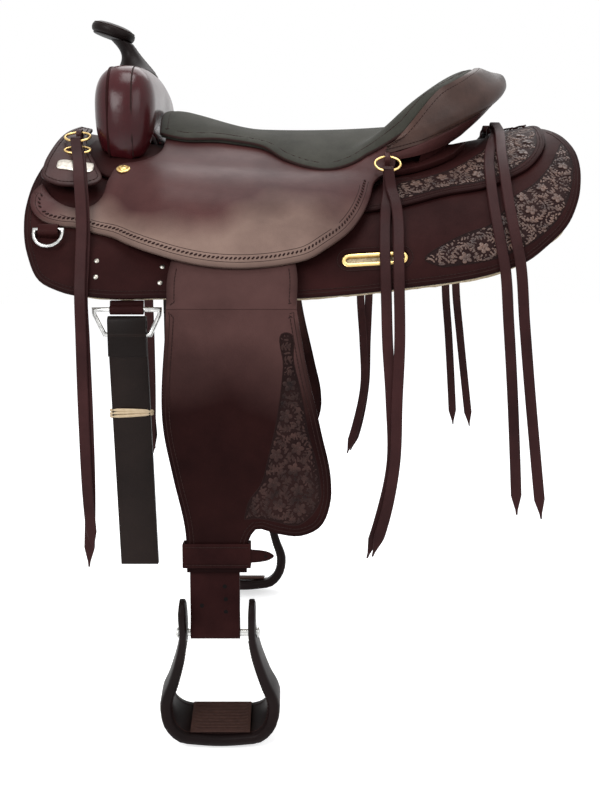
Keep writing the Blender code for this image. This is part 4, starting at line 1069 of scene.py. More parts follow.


# What repeats: stitches along seams, and tooled leaves and flowers at marked points

class Repeats:
    """Geometry trees that set small shapes along seams and at marked points."""

    @staticmethod
    def _start(name: str, floats: Sequence[tuple[str, float]]) -> tuple[NodeTree, Graph, Node]:
        """Make a tree with its named inputs.

        Args:
            name: name of the tree.
            floats: its numbers, with their values.

        Returns:
            The tree, its nodes and its input node.
        """
        tree = bpy.data.node_groups.new(name, "GeometryNodeTree")
        tree.interface.new_socket("Geometry", in_out="INPUT", socket_type="NodeSocketGeometry")
        for label, value in floats:
            socket = tree.interface.new_socket(label, in_out="INPUT", socket_type="NodeSocketFloat")
            socket.default_value = value
        tree.interface.new_socket("Shape", in_out="INPUT", socket_type="NodeSocketObject")
        tree.interface.new_socket("Finish", in_out="INPUT", socket_type="NodeSocketMaterial")
        tree.interface.new_socket("Geometry", in_out="OUTPUT", socket_type="NodeSocketGeometry")
        graph = Graph(tree)
        return tree, graph, graph.add("NodeGroupInput")

    @staticmethod
    def _attribute(graph: Graph, name: str, kind: str) -> Socket:
        """Read a named attribute of the points.

        Args:
            graph: the tree's nodes.
            name: name of the attribute.
            kind: its type.

        Returns:
            Its values.
        """
        node = graph.add("GeometryNodeInputNamedAttribute", data_type=kind)
        node.inputs["Name"].default_value = name
        return node.outputs["Attribute"]

    @staticmethod
    def _finish(graph: Graph, placed: Socket, given: Node) -> None:
        """End a tree in plain faces with their material.

        Args:
            graph: the tree's nodes.
            placed: the placed shapes.
            given: the input node.
        """
        real = graph.add("GeometryNodeRealizeInstances", {"Geometry": placed})
        dressed = graph.add("GeometryNodeSetMaterial", {"Geometry": real.outputs[0],
                                                        "Material": given.outputs["Finish"]})
        graph.add("NodeGroupOutput", {"Geometry": dressed.outputs[0]})

    @classmethod
    def seam_tree(cls) -> NodeTree:
        """Tree that sets one shape again and again along the edges of a mesh.

        Returns:
            The tree, built the first time.
        """
        known = bpy.data.node_groups.get("stitches along a seam")
        if known:
            return known
        tree, graph, given = cls._start("stitches along a seam", (("Spacing", 0.005), ("Slant", 0.0), ("Size", 1.0)))
        curve = graph.add("GeometryNodeMeshToCurve", {"Mesh": given.outputs["Geometry"]})
        spaced = graph.add("GeometryNodeResampleCurve", {"Curve": curve.outputs[0],
                                                         "Length": given.outputs["Spacing"]}, mode="LENGTH")
        tangent = graph.add("GeometryNodeInputTangent")
        along = graph.add("FunctionNodeAlignRotationToVector", {"Vector": tangent.outputs[0]}, axis="X")
        facing = graph.add("FunctionNodeAlignRotationToVector",
                           {"Rotation": along.outputs[0], "Vector": cls._attribute(graph, "facing", "FLOAT_VECTOR")},
                           axis="Z", pivot_axis="X")
        turn = graph.add("FunctionNodeAxisAngleToRotation", {"Axis": (0.0, 0.0, 1.0),
                                                             "Angle": given.outputs["Slant"]})
        turned = graph.add("FunctionNodeRotateRotation", {"Rotation": facing.outputs[0],
                                                          "Rotate By": turn.outputs[0]}, rotation_space="LOCAL")
        shape = graph.add("GeometryNodeObjectInfo", {"Object": given.outputs["Shape"]})
        placed = graph.add("GeometryNodeInstanceOnPoints",
                           {"Points": spaced.outputs[0], "Instance": shape.outputs["Geometry"],
                            "Rotation": turned.outputs[0], "Scale": given.outputs["Size"]})
        cls._finish(graph, placed.outputs[0], given)
        return tree

    @classmethod
    def mark_tree(cls) -> NodeTree:
        """Tree that sets one shape at every point of a mesh, by the points' own directions and sizes.

        Returns:
            The tree, built the first time.
        """
        known = bpy.data.node_groups.get("shapes at marked points")
        if known:
            return known
        tree, graph, given = cls._start("shapes at marked points", (("Size", 1.0), ("Variation", 0.0), ("Seed", 4.0)))
        facing = graph.add("FunctionNodeAlignRotationToVector",
                           {"Vector": cls._attribute(graph, "facing", "FLOAT_VECTOR")}, axis="Z")
        heading = graph.add("FunctionNodeAlignRotationToVector",
                            {"Rotation": facing.outputs[0],
                             "Vector": cls._attribute(graph, "heading", "FLOAT_VECTOR")}, axis="X", pivot_axis="Z")
        chance = graph.add("FunctionNodeRandomValue", data_type="FLOAT")
        graph.give(chance, {"Seed": given.outputs["Seed"]})
        spread = graph.math("MULTIPLY", graph.math("SUBTRACT", chance.outputs[1], 0.5), given.outputs["Variation"])
        scale = graph.math("MULTIPLY", graph.math("MULTIPLY", graph.math("ADD", spread, 1.0), given.outputs["Size"]),
                           cls._attribute(graph, "size", "FLOAT"))
        shape = graph.add("GeometryNodeObjectInfo", {"Object": given.outputs["Shape"]})
        points = graph.add("GeometryNodeMeshToPoints", {"Mesh": given.outputs["Geometry"]})
        placed = graph.add("GeometryNodeInstanceOnPoints",
                           {"Points": points.outputs[0], "Instance": shape.outputs["Geometry"],
                            "Rotation": heading.outputs[0], "Scale": scale})
        cls._finish(graph, placed.outputs[0], given)
        return tree

    @staticmethod
    def _carrier(name: str, verts: Path, edges: Sequence[tuple[int, int]],
                 vectors: dict[str, list[Vector]], sizes: Optional[list[float]] = None) -> Piece:
        """Mesh of points in metres, with directions, for a tree to work on.

        Args:
            name: name of the new piece.
            verts: its points.
            edges: lines between them.
            vectors: directions for each point, by name.
            sizes: a size for each point.

        Returns:
            The mesh's object.
        """
        mesh = bpy.data.meshes.new(name)
        mesh.from_pydata([tuple(v) for v in verts], list(edges), [])
        for key, values in vectors.items():
            flat = [c for v in values for c in v]
            mesh.attributes.new(key, "FLOAT_VECTOR", "POINT").data.foreach_set("vector", flat)
        if sizes is not None:
            mesh.attributes.new("size", "FLOAT", "POINT").data.foreach_set("value", sizes)
        return linked(name, mesh)

    @staticmethod
    def _apply(piece: Piece, tree: NodeTree, values: dict[str, object]) -> Piece:
        """Run a tree on a piece with its named inputs, and keep the plain result.

        Args:
            piece: the carrier.
            tree: the tree.
            values: its inputs by name.

        Returns:
            The piece, made plain.
        """
        work = piece.modifiers.new("repeat", "NODES")
        work.node_group = tree
        for item in tree.interface.items_tree:
            if item.in_out == "INPUT" and item.name in values:
                work[item.identifier] = values[item.name]
        return settle(piece, 60.0)

    @classmethod
    def seam(cls, name: str, runs: Sequence[Run], shape: Piece,
             finish: Finish, spacing: float, slant: float = 0.0) -> Piece:
        """Sew along runs of (point, outward direction), in millimetres.

        Args:
            name: name of the new piece.
            runs: one or more lines to sew along.
            shape: one stitch, lying along X.
            finish: what it is made of.
            spacing: distance between stitches in millimetres.
            slant: turn of each stitch in degrees.

        Returns:
            All the stitches as one piece.
        """
        verts: list[Vector] = []
        facing: list[Vector] = []
        edges: list[tuple[int, int]] = []
        for run in runs:
            start = len(verts)
            verts += [p * MM for p, _ in run]
            facing += [out for _, out in run]
            edges += [(start + i, start + i + 1) for i in range(len(run) - 1)]
        piece = cls._carrier(name, verts, edges, {"facing": facing})
        return cls._apply(piece, cls.seam_tree(), {"Spacing": spacing * MM, "Slant": radians(slant), "Shape": shape,
                                                   "Finish": finish.material(), "Size": 1.0})

    @classmethod
    def marks(cls, name: str, marks: Sequence[Mark], shape: Piece, finish: Finish,
              variation: float = 0.0) -> Piece:
        """Set a shape at marks of (point, outward direction, heading, size).

        Args:
            name: name of the new piece.
            marks: where each shape goes, with points in millimetres.
            shape: the shape, 1 mm long for a size of 1.
            finish: what it is made of.
            variation: share by which sizes vary.

        Returns:
            All the shapes as one piece.
        """
        piece = cls._carrier(name, [m[0] * MM for m in marks], [], {"facing": [m[1] for m in marks],
                                                                    "heading": [m[2] for m in marks]},
                             [m[3] for m in marks])
        return cls._apply(piece, cls.mark_tree(), {"Size": 1.0, "Variation": variation, "Seed": 4.0, "Shape": shape,
                                                   "Finish": finish.material()})


class Stamps:
    """Small shapes that the trees repeat; they leave the scene at the end."""

    def __init__(self) -> None:
        """Make each shape once."""
        self.stitch = self._dome("stitch shape", [(2.3 * cos(a), 0.55 * sin(a)) for a in turns(10)], 0.5)
        self.bead = self._dome("bead shape", [(2.5 * cos(a), 1.15 * sin(a)) for a in turns(8)], 1.0)
        self.leaf = self._dome("leaf shape", self._leaf(1.0, 0.22), 0.085, vein=0.045)
        self.petal = self._flower()
        self.stud = self._dome("stud shape", [(cos(a), sin(a)) for a in turns(14)], 0.42)

    @staticmethod
    def _leaf(length: float, half: float) -> list[Pair]:
        """Outline of a curled leaf with one blunt and one pointed end.

        Args:
            length: its length.
            half: half its width.

        Returns:
            The outline's points.
        """
        upper = [(length * t, half * sin(pi * t ** 0.75) + 0.12 * length * t * t) for t in (0.0, 0.12, 0.3, 0.52, 0.76)]
        lower = [(length * t, -half * sin(pi * t ** 0.75) + 0.12 * length * t * t) for t in (0.76, 0.52, 0.3, 0.12)]
        return upper + [(length, 0.12 * length)] + lower

    @staticmethod
    def _shape(name: str, verts: list[Vector], faces: list[tuple[int, ...]]) -> Piece:
        """Make a hidden object of a shape, with a size in metres.

        Args:
            name: name of the shape.
            verts: its points.
            faces: its faces.

        Returns:
            The object.
        """
        mesh = bpy.data.meshes.new(name)
        mesh.from_pydata([tuple(v * MM) for v in verts], [], faces)
        with edited(mesh) as data:
            bmesh.ops.recalc_face_normals(data, faces=data.faces[:])
        piece = linked(name, mesh)
        piece.hide_render = True
        return piece

    @classmethod
    def _dome(cls, name: str, edge: list[Pair], height: float, vein: float = 0.0) -> Piece:
        """Low dome over an outline, closed below, with a sunk vein if asked."""
        verts, faces = cls._dome_data(edge, height, vein)
        return cls._shape(name, verts, faces)

    @staticmethod
    def _dome_data(edge: list[Pair], height: float, vein: float) -> tuple[list[Vector], list]:
        """Points and faces of a low dome, closed below.

        Args:
            edge: the outline.
            height: height of the dome.
            vein: depth of its vein.

        Returns:
            The points and the faces.
        """
        middle = Vector((sum(x for x, _ in edge) / len(edge), sum(y for _, y in edge) / len(edge)))
        verts: list[Vector] = []
        levels = ((1.0, -0.35 * height), (1.0, 0.25 * height), (0.82, 0.8 * height), (0.45, height))
        for share, rise in levels:
            for x, y in edge:
                p = middle + (Vector((x, y)) - middle) * share
                verts.append(Vector((p.x, p.y, rise)))
        verts.append(Vector((middle.x, middle.y, height - vein)))
        verts.append(Vector((middle.x, middle.y, -0.35 * height)))
        count = len(edge)
        faces = []
        for k in range(3):
            faces += [(k * count + i, k * count + (i + 1) % count, (k + 1) * count + (i + 1) % count,
                       (k + 1) * count + i) for i in range(count)]
        faces += [(3 * count + i, 3 * count + (i + 1) % count, 4 * count) for i in range(count)]
        faces += [((i + 1) % count, i, 4 * count + 1) for i in range(count)]
        return verts, faces

    @classmethod
    def _flower(cls) -> Piece:
        """Plain flower of five petals round a domed middle, 2 mm across for a size of 1.

        Returns:
            The object.
        """
        verts: list[Vector] = []
        faces: list[tuple[int, ...]] = []
        parts = [([(0.56 + 0.44 * cos(a), 0.34 * sin(a)) for a in turns(10)], 0.09, 0.05, 2 * pi * k / 5)
                 for k in range(5)]
        parts.append(([(0.26 * cos(a), 0.26 * sin(a)) for a in turns(10)], 0.15, 0.03, 0.0))
        for edge, height, vein, turn in parts:
            some, more = cls._dome_data(edge, height, vein)
            start = len(verts)
            verts += [Vector((v.x * cos(turn) - v.y * sin(turn), v.x * sin(turn) + v.y * cos(turn), v.z)) for v in some]
            faces += [tuple(start + i for i in face) for face in more]
        return cls._shape("flower shape", verts, faces)

    def remove(self) -> None:
        """Take the shapes out of the scene."""
        for shape in (self.stitch, self.bead, self.leaf, self.petal, self.stud):
            bpy.data.objects.remove(shape, do_unlink=True)


def inset(loop: Path, gap: float) -> list[Vector]:
    """Draw a flat loop in by a gap, whichever way round it runs.

    Args:
        loop: the loop.
        gap: distance inwards.

    Returns:
        The smaller loop.
    """
    area = sum(a.x * b.y - b.x * a.y for a, b in zip(loop, list(loop[1:]) + [loop[0]]))
    turn = 1.0 if area > 0 else -1.0
    moved = []
    for i, point in enumerate(loop):
        along = (loop[(i + 1) % len(loop)] - loop[i - 1]).normalized()
        moved.append(point + Vector((-along.y, along.x)) * (turn * gap))
    return moved


def on_face(surface: Surface, x: float, across: float, offset: float) -> Spot:
    """Point on a face and the direction out of it."""
    point = surface(x, across, offset)
    return point, (surface(x, across, offset + 1.0) - point).normalized()


@dataclass
class Tooling:
    """Floral carving: plain flowers with leaves that whirl round them, inside a flat region of a face."""

    region: list[Vector]
    surface: Surface
    face: Field
    finish: Finish = TOOLED
    step: float = 3.7
    flower: float = 8.5
    seed: int = 7

    def build(self, name: str, stamps: Stamps) -> list[Piece]:
        """Carve the region.

        Args:
            name: start of the new pieces' names.
            stamps: the shapes to repeat.

        Returns:
            The flowers and the leaves, one piece each.
        """
        rng = random.Random(self.seed)
        loop = np.array([tuple(p) for p in self.region])
        low = loop.min(0)
        high = loop.max(0)
        flowers: list[Vector] = []
        for _ in range(400):
            point = Vector((rng.uniform(low[0], high[0]), rng.uniform(low[1], high[1])))
            clear = all((point - f).length > 2.8 * self.flower for f in flowers)
            if self._fits(point, loop, self.flower * 0.9) and clear:
                flowers.append(point)
        leaves: list[Vector] = []
        rows = int((high[1] - low[1]) / (0.87 * self.step)) + 1
        for j in range(rows):
            for i in range(int((high[0] - low[0]) / self.step) + 2):
                point = Vector((low[0] + (i + 0.5 * (j % 2)) * self.step, low[1] + 0.87 * j * self.step))
                point += Vector((rng.uniform(-0.2, 0.2), rng.uniform(-0.2, 0.2))) * self.step
                if all((point - f).length > self.flower for f in flowers) and self._fits(point, loop, 0.6):
                    leaves.append(point)
        pieces = []
        if flowers:
            marks = [self._mark(p, rng.uniform(0.0, 2 * pi), self.flower) for p in flowers]
            pieces.append(Repeats.marks(f"{name}_flowers", marks, stamps.petal, self.finish))
        marks = []
        for point in leaves:
            nearest = min(flowers, key=lambda f: (f - point).length) if flowers else Vector((0.0, 0.0))
            away = point - nearest
            angle = float(np.arctan2(away.y, away.x)) + 1.2 + 1.3 * sin(0.42 * away.length)
            size = self.step * rng.uniform(1.25, 1.9)
            if not self._fits(point + Vector((cos(angle), sin(angle))) * size, loop, 0.6):
                size *= 0.45
            if self._fits(point + Vector((cos(angle), sin(angle))) * size, loop, 0.3):
                marks.append(self._mark(point, angle, size))
        pieces.append(Repeats.marks(f"{name}_leaves", marks, stamps.leaf, self.finish, variation=0.15))
        return pieces

    @staticmethod
    def _fits(point: Vector, loop: np.ndarray, margin: float) -> bool:
        """Whether a point lies inside the region with a margin."""
        here = np.array([tuple(point)])
        return bool(cover(here, loop)[0]) and rim_distance(here, [loop])[0] > margin

    def _mark(self, point: Vector, angle: float, size: float) -> Mark:
        """Mark on the face at a flat point, headed by a flat angle.

        Args:
            point: flat point.
            angle: flat angle of the heading.
            size: size of the shape.

        Returns:
            The mark.
        """
        offset = self.face(point.x, point.y)
        here, out = on_face(self.surface, point.x, point.y, offset)
        ahead = self.surface(point.x + cos(angle), point.y + sin(angle), offset)
        return here, out, (ahead - here).normalized(), size


# What the sub-assemblies share

def ring_seat(side: Side, spot: str) -> Axes:
    """Find where the staple of a string ring stands.

    Args:
        side: the side that the ring is on.
        spot: front or middle.

    Returns:
        The staple's foot, the slope there and the direction out of the leather.
    """
    (x, across), face = (FRONT_RING, front_top) if spot == "front" else (MIDDLE_RING, seat_top)
    return surface_axes(x, side.value * across, face)


def run_length(path: Path) -> float:
    """Length of a path."""
    return sum((b - a).length for a, b in zip(path, path[1:]))


def even(points: Points, count: int) -> list[Vector]:
    """Set a fixed number of points evenly along a smooth curve through others.

    Args:
        points: points that the curve passes through.
        count: how many points come back.

    Returns:
        The evenly spaced points.
    """
    fine = smooth_run(points, 0.6)
    gone = [0.0]
    for a, b in zip(fine, fine[1:]):
        gone.append(gone[-1] + (b - a).length)
    places = []
    k = 0
    for i in range(count):
        want = gone[-1] * i / (count - 1)
        while k < len(fine) - 2 and gone[k + 1] < want:
            k += 1
        share = (want - gone[k]) / max(gone[k + 1] - gone[k], 1e-9)
        places.append(fine[k].lerp(fine[k + 1], min(max(share, 0.0), 1.0)))
    return places


def edge_run(surface: Surface, face: Field, loop: Path, gap: float, lift: float = 0.1,
             keep: Optional[Keep] = None) -> list[list[Spot]]:
    """Lines that follow the edge of a flat pattern on its face.

    Args:
        surface: the surface that the pattern lies on.
        face: offset of its outer face.
        loop: the pattern's outline.
        gap: distance inside the edge.
        lift: height over the face.
        keep: which flat points belong to the lines; all of them if left out.

    Returns:
        Runs of (point, outward direction).
    """
    flat = inset(loop, gap)
    flat.append(flat[0])
    runs: list[list[Spot]] = [[]]
    for p in flat:
        if keep is None or keep(p):
            runs[-1].append(on_face(surface, p.x, p.y, face(p.x, p.y) + lift))
        elif runs[-1]:
            runs.append([])
    return [run for run in runs if len(run) > 2]


def crease(name: str, run: Run, width: float, height: float,
           finish: Finish) -> Piece:
    """Make a thin strip that lies along a run on a face, such as a creaser's line or a welt.

    Args:
        name: name of the new piece.
        run: line of (point, outward direction).
        width: width in millimetres.
        height: height over the face in millimetres.
        finish: what covers it.

    Returns:
        The new piece.
    """
    rings = []
    for i, (point, out) in enumerate(run):
        along = (run[min(i + 1, len(run) - 1)][0] - run[max(i - 1, 0)][0]).normalized()
        wide = along.cross(out).normalized()
        rings.append([point + wide * (u * width / 2) + out * (v * height)
                      for u, v in ((1.0, -0.8), (0.7, 0.6), (0.0, 1.0), (-0.7, 0.6), (-1.0, -0.8), (0.0, -1.0))])
    return loft(name, rings, finish, sharp=70.0)


def bar_section(flat: float, upright: float) -> list[Pair]:
    """Corners of a flat bar's section with bevelled edges, from -1 to 1 both ways."""
    corner = [(1.0, upright), (flat, 1.0), (-flat, 1.0), (-1.0, upright)]
    return corner + [(-u, -v) for u, v in corner]


def arch(name: str, seat: Axes, half_width: float, finish: Finish, span: float = STAPLE_SPAN) -> None:
    """Stand a small leather loop on a face to hold a ring.

    Args:
        name: name of the new piece.
        seat: its foot, the direction that it spans and the direction out of the face.
        half_width: half its width in millimetres.
        finish: what covers it.
        span: half the distance between its feet in millimetres.
    """
    foot, along, out = seat
    across = along.cross(out).normalized()
    rings = []
    for i in range(25):
        angle = pi * i / 24
        flat = span * bent(cos(angle), 0.6)
        centre = foot + along * flat + out * (STAPLE_RISE * sin(angle) ** 0.5 - 1.6 * (1.0 - sin(angle)) ** 4)
        spoke = (along * flat / span + out * sin(angle)).normalized()
        rings.append([centre + across * (u * half_width) + spoke * (v * 0.9) for u, v in bar_section(0.8, 0.5)])
    place(loft(name, rings, finish, sharp=60.0), finish)


def score(name: str, runs: Sequence[Run], size: Pair, body: str = "saddle") -> None:
    """Crease a line along each run.

    Args:
        name: start of the new pieces' names.
        runs: the lines.
        size: their width and height in millimetres.
        body: the body that they ride on.
    """
    for k, run in enumerate(runs):
        place(crease(f"{name}_{k}", run, *size, THREAD), THREAD, body=body)


def punch(name: str, spot: Spot, size: Pair, count: int, body: str) -> None:
    """Set a dark disc in a face, painted shade that reads as a punched hole.

    Args:
        name: name of the new piece.
        spot: its place on the face and the direction out of it.
        size: its radius and its depth in millimetres.
        count: number of its corners.
        body: the body that it rides on.
    """
    point, out = spot
    radius, depth = size
    profile = ((0.0, radius), (depth, radius), (depth, 0.1))
    place(lathe(name, point - out * 0.4, out, profile, HOLE_SHADE, count), HOLE_SHADE, body=body)


@dataclass
class Shop:
    """What every sub-assembly works with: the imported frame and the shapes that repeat."""

    frame: dict
    stamps: Stamps

    def copy(self, node: str, finish: Finish, body: str, bevel: float = 0.6, sharp: float = 40.0,
             levels: int = 0) -> Piece:
        """Stand a joined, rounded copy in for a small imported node.

        Args:
            node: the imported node.
            finish: what covers the copy.
            body: the body that it rides on.
            bevel: width of its rounded edges in millimetres, or 0.
            sharp: angle in degrees from which an edge looks sharp.
            levels: how often it is subdivided.

        Returns:
            The copy.
        """
        mesh = self.frame["nodes"][node].data.copy()
        with edited(mesh) as data:
            bmesh.ops.remove_doubles(data, verts=data.verts[:], dist=WELD)
            bmesh.ops.dissolve_limit(data, angle_limit=radians(FLAT), verts=data.verts[:], edges=data.edges[:])
        mesh.materials.clear()
        mesh.materials.append(finish.material())
        piece = linked(f"{node}_piece", mesh)
        if bevel:
            rounded(piece, bevel)
        if levels:
            smoothed(piece, levels)
        piece.data.shade_smooth()
        piece.data.set_sharp_from_angle(angle=radians(sharp))
        return place(piece, finish, node, body=body)

    def sew(self, name: str, runs: Sequence[Run], body: str = "saddle", spacing: float = 4.6, slant: float = 0.0,
            bold: bool = False) -> None:
        """Sew along runs, with thread or with bold lacing beads.

        Args:
            name: name of the new piece.
            runs: lines to sew along.
            body: the body that it rides on.
            spacing: distance between stitches in millimetres.
            slant: turn of each stitch in degrees.
            bold: whether it is laced.
        """
        shape = self.stamps.bead if bold else self.stamps.stitch
        place(Repeats.seam(name, runs, shape, THREAD, spacing, slant), THREAD, body=body)

    def border(self, cut: Cut, what: str, word: str, gaps: Pair, keep: Keep,
               size: Pair = (1.1, 0.25), body: str = "saddle") -> None:
        """Sew round the free edge of a pattern, with a creased line outside the stitches.

        Args:
            cut: the pattern's surface, face and outline.
            what: name of the piece that it borders.
            word: side or name that the new names go on with.
            gaps: how far inside the edge the stitches and the line run.
            keep: which flat points belong to the free edge.
            size: width and height of the line in millimetres.
            body: the body that they ride on.
        """
        self.sew(f"{what}_stitches_{word}", edge_run(*cut, gaps[0], keep=keep), body)
        score(f"{what}_crease_{word}", edge_run(*cut, gaps[1], 0.0, keep=keep), size, body)


# Skirts

@dataclass
class Skirts:
    """Skirts with their fleece, stitching, rigging plates and carving."""

    shop: Shop
    front: float = -332.0
    rear: float = 351.0
    drop: float = 335.0
    slot: tuple[float, float, float, float] = (90.0, 274.0, 40.0, 9.0)
    dee_foot: Pair = (-300.0, 268.0)
    plate: float = 3.6
    covered: float = 60.0
    rivets: Points = ((-242.0, 294.0), (-242.0, 314.0), (-164.0, 291.0), (-166.0, 311.0))
    carved: Points = ((170, 292), (150, 280), (175, 262), (205, 250), (232, 243), (250, 225), (262, 208), (290, 190),
                      (312, 165), (330, 130), (338, 112), (342, 150), (336, 196), (326, 226), (306, 256), (283, 273),
                      (240, 288))

    def pattern(self, gap: float) -> list[Vector]:
        """Flat outline of one skirt, drawn in from its edge by a gap.

        Args:
            gap: the gap.

        Returns:
            The outline's points.
        """
        front = self.front + gap
        rear = self.rear - gap
        low = self.drop - gap
        runs = (
            ((front + 34, 2), (front + 27, 62), (front + 11, 152), (front + 1, 215), (front, 258),
             (front + 8, 300), (front + 24, low - 6), (front + 48, low + 2), (front + 96, low + 2),
             (-160, low - 7), (0, low - 15), (120, low - 22), (240, low - 30),
             (rear - 80, low - 37), (rear - 54, low - 53), (rear - 30, 262), (rear - 13, 231),
             (rear - 4, 196), (rear, 150), (rear - 5, 100), (rear - 15, 45), (rear - 22, 2)),
            ((rear - 22, 2), (250, 2), (170, 45), (40, 52), (-90, 48), (-190, 40), (-262, 2), (front + 34, 2)),
        )
        return [Vector((p.x, max(p.y, 1.5))) for p in outline(runs, 7.0)]

    def slot_loop(self, grow: float) -> list[Vector]:
        """Round-ended outline of the rigging slot, grown by a margin.

        Args:
            grow: the margin.

        Returns:
            The outline's points.
        """
        x, across, half, radius = self.slot
        reach = radius + grow
        return [Vector((x + end * (half - radius) + reach * cos(a), across + reach * sin(a)))
                for end, start in ((1, -pi / 2), (-1, pi / 2)) for a in [start + pi * i / 9 for i in range(10)]]

    def build(self) -> None:
        """Make both skirts and what belongs to them."""
        for side in Side:
            word = side.word
            surface = sided(side)
            face = level(SKIRT_OUTER)
            skirt = Sheet([self.pattern(0.0), self.slot_loop(0.0)], surface, face, level(SKIRT_INNER), 10.0)
            place(skirt.build(f"skirt_{word}_leather", SKIRTING, 1.5), SKIRTING, f"skirt_{word}")
            self._fleece(side)
            plate = Sheet([self.slot_loop(-0.4), self.slot_loop(-5.0)], surface, level(SKIRT_INNER + self.plate),
                          level(SKIRT_INNER), 6.0)
            place(plate.build(f"rig_plate_{word}", BRASS, 0.7), BRASS, f"rear_rig_plate_{word}")
            self.shop.border((surface, face, self.pattern(0.0)), "skirt", word, (8.0, 4.2),
                             lambda p: p.y > self.covered)
            self.shop.sew(f"slot_stitches_{word}", edge_run(surface, face, self.slot_loop(0.0), -5.5), spacing=4.2)
            dress_region(self.shop, f"skirt_carving_{word}", self.carved, surface, face, seed=11 + side.value)
            for k, spot in enumerate(self.rivets):
                point, out = on_face(surface, *spot, SKIRT_OUTER)
                place(lathe(f"skirt_rivet_{word}_{k}", point, out, ((-0.3, 3.0), (0.5, 3.0), (1.2, 2.1), (1.5, 0.2)),
                            NICKEL, 20), NICKEL)
            arch(f"breast_dee_loop_{word}", surface_axes(self.dee_foot[0], side.value * self.dee_foot[1], face), 11.9,
                 SKIRTING)

    def _fleece(self, side: Side) -> None:
        """Lay the fleece under a skirt, with its matted locks.

        Args:
            side: the side that it is on.
        """
        piece = Sheet([self.pattern(4.0)], sided(side), level(FLEECE), level(0.6), 7.0).build(
            f"fleece_{side.word}", FLEECE_WOOL, 0.0)
        for vertex in piece.data.vertices:
            here = vertex.co
            lock = noise.noise(here * 95.0) + 0.6 * noise.noise(here * 210.0)
            vertex.co = here + vertex.normal * (0.0013 * min(lock - 0.1, 0.35))
        place(piece, FLEECE_WOOL, f"fleece_lining_{side.word}")


def dress_region(shop: Shop, name: str, region: Points, surface: Surface, face: Field, body: str = "saddle",
                 seed: int = 0, finish: Finish = TOOLED) -> None:
    """Carve a region: its dark stippled ground, its flowers and leaves, and the line round it.

    Args:
        shop: what the pieces are made with.
        name: start of the new pieces' names.
        region: flat outline of the region.
        surface: the surface that it lies on.
        face: offset of the face that is carved.
        body: the body that it rides on.
        seed: seed of its random draws.
        finish: what covers the flowers and leaves.
    """
    smooth_region = outline([[*region, region[0]]], 5.0)
    ground = Sheet([smooth_region], surface, lambda x, w: face(x, w) + 0.14, lambda x, w: face(x, w) - 0.8, 6.0)
    place(ground.build(f"{name}_ground", GROUND, 0.0), GROUND, body=body)
    carving = Tooling(smooth_region, surface, lambda x, w: face(x, w) + 0.1, finish, seed=seed)
    for piece in carving.build(name, shop.stamps):
        place(piece, finish, body=body)
    line = edge_run(surface, face, smooth_region, -0.6, 0.05)[0]
    place(crease(f"{name}_border", line, 1.1, 0.3, GROUND), GROUND, body=body)


# Jockeys

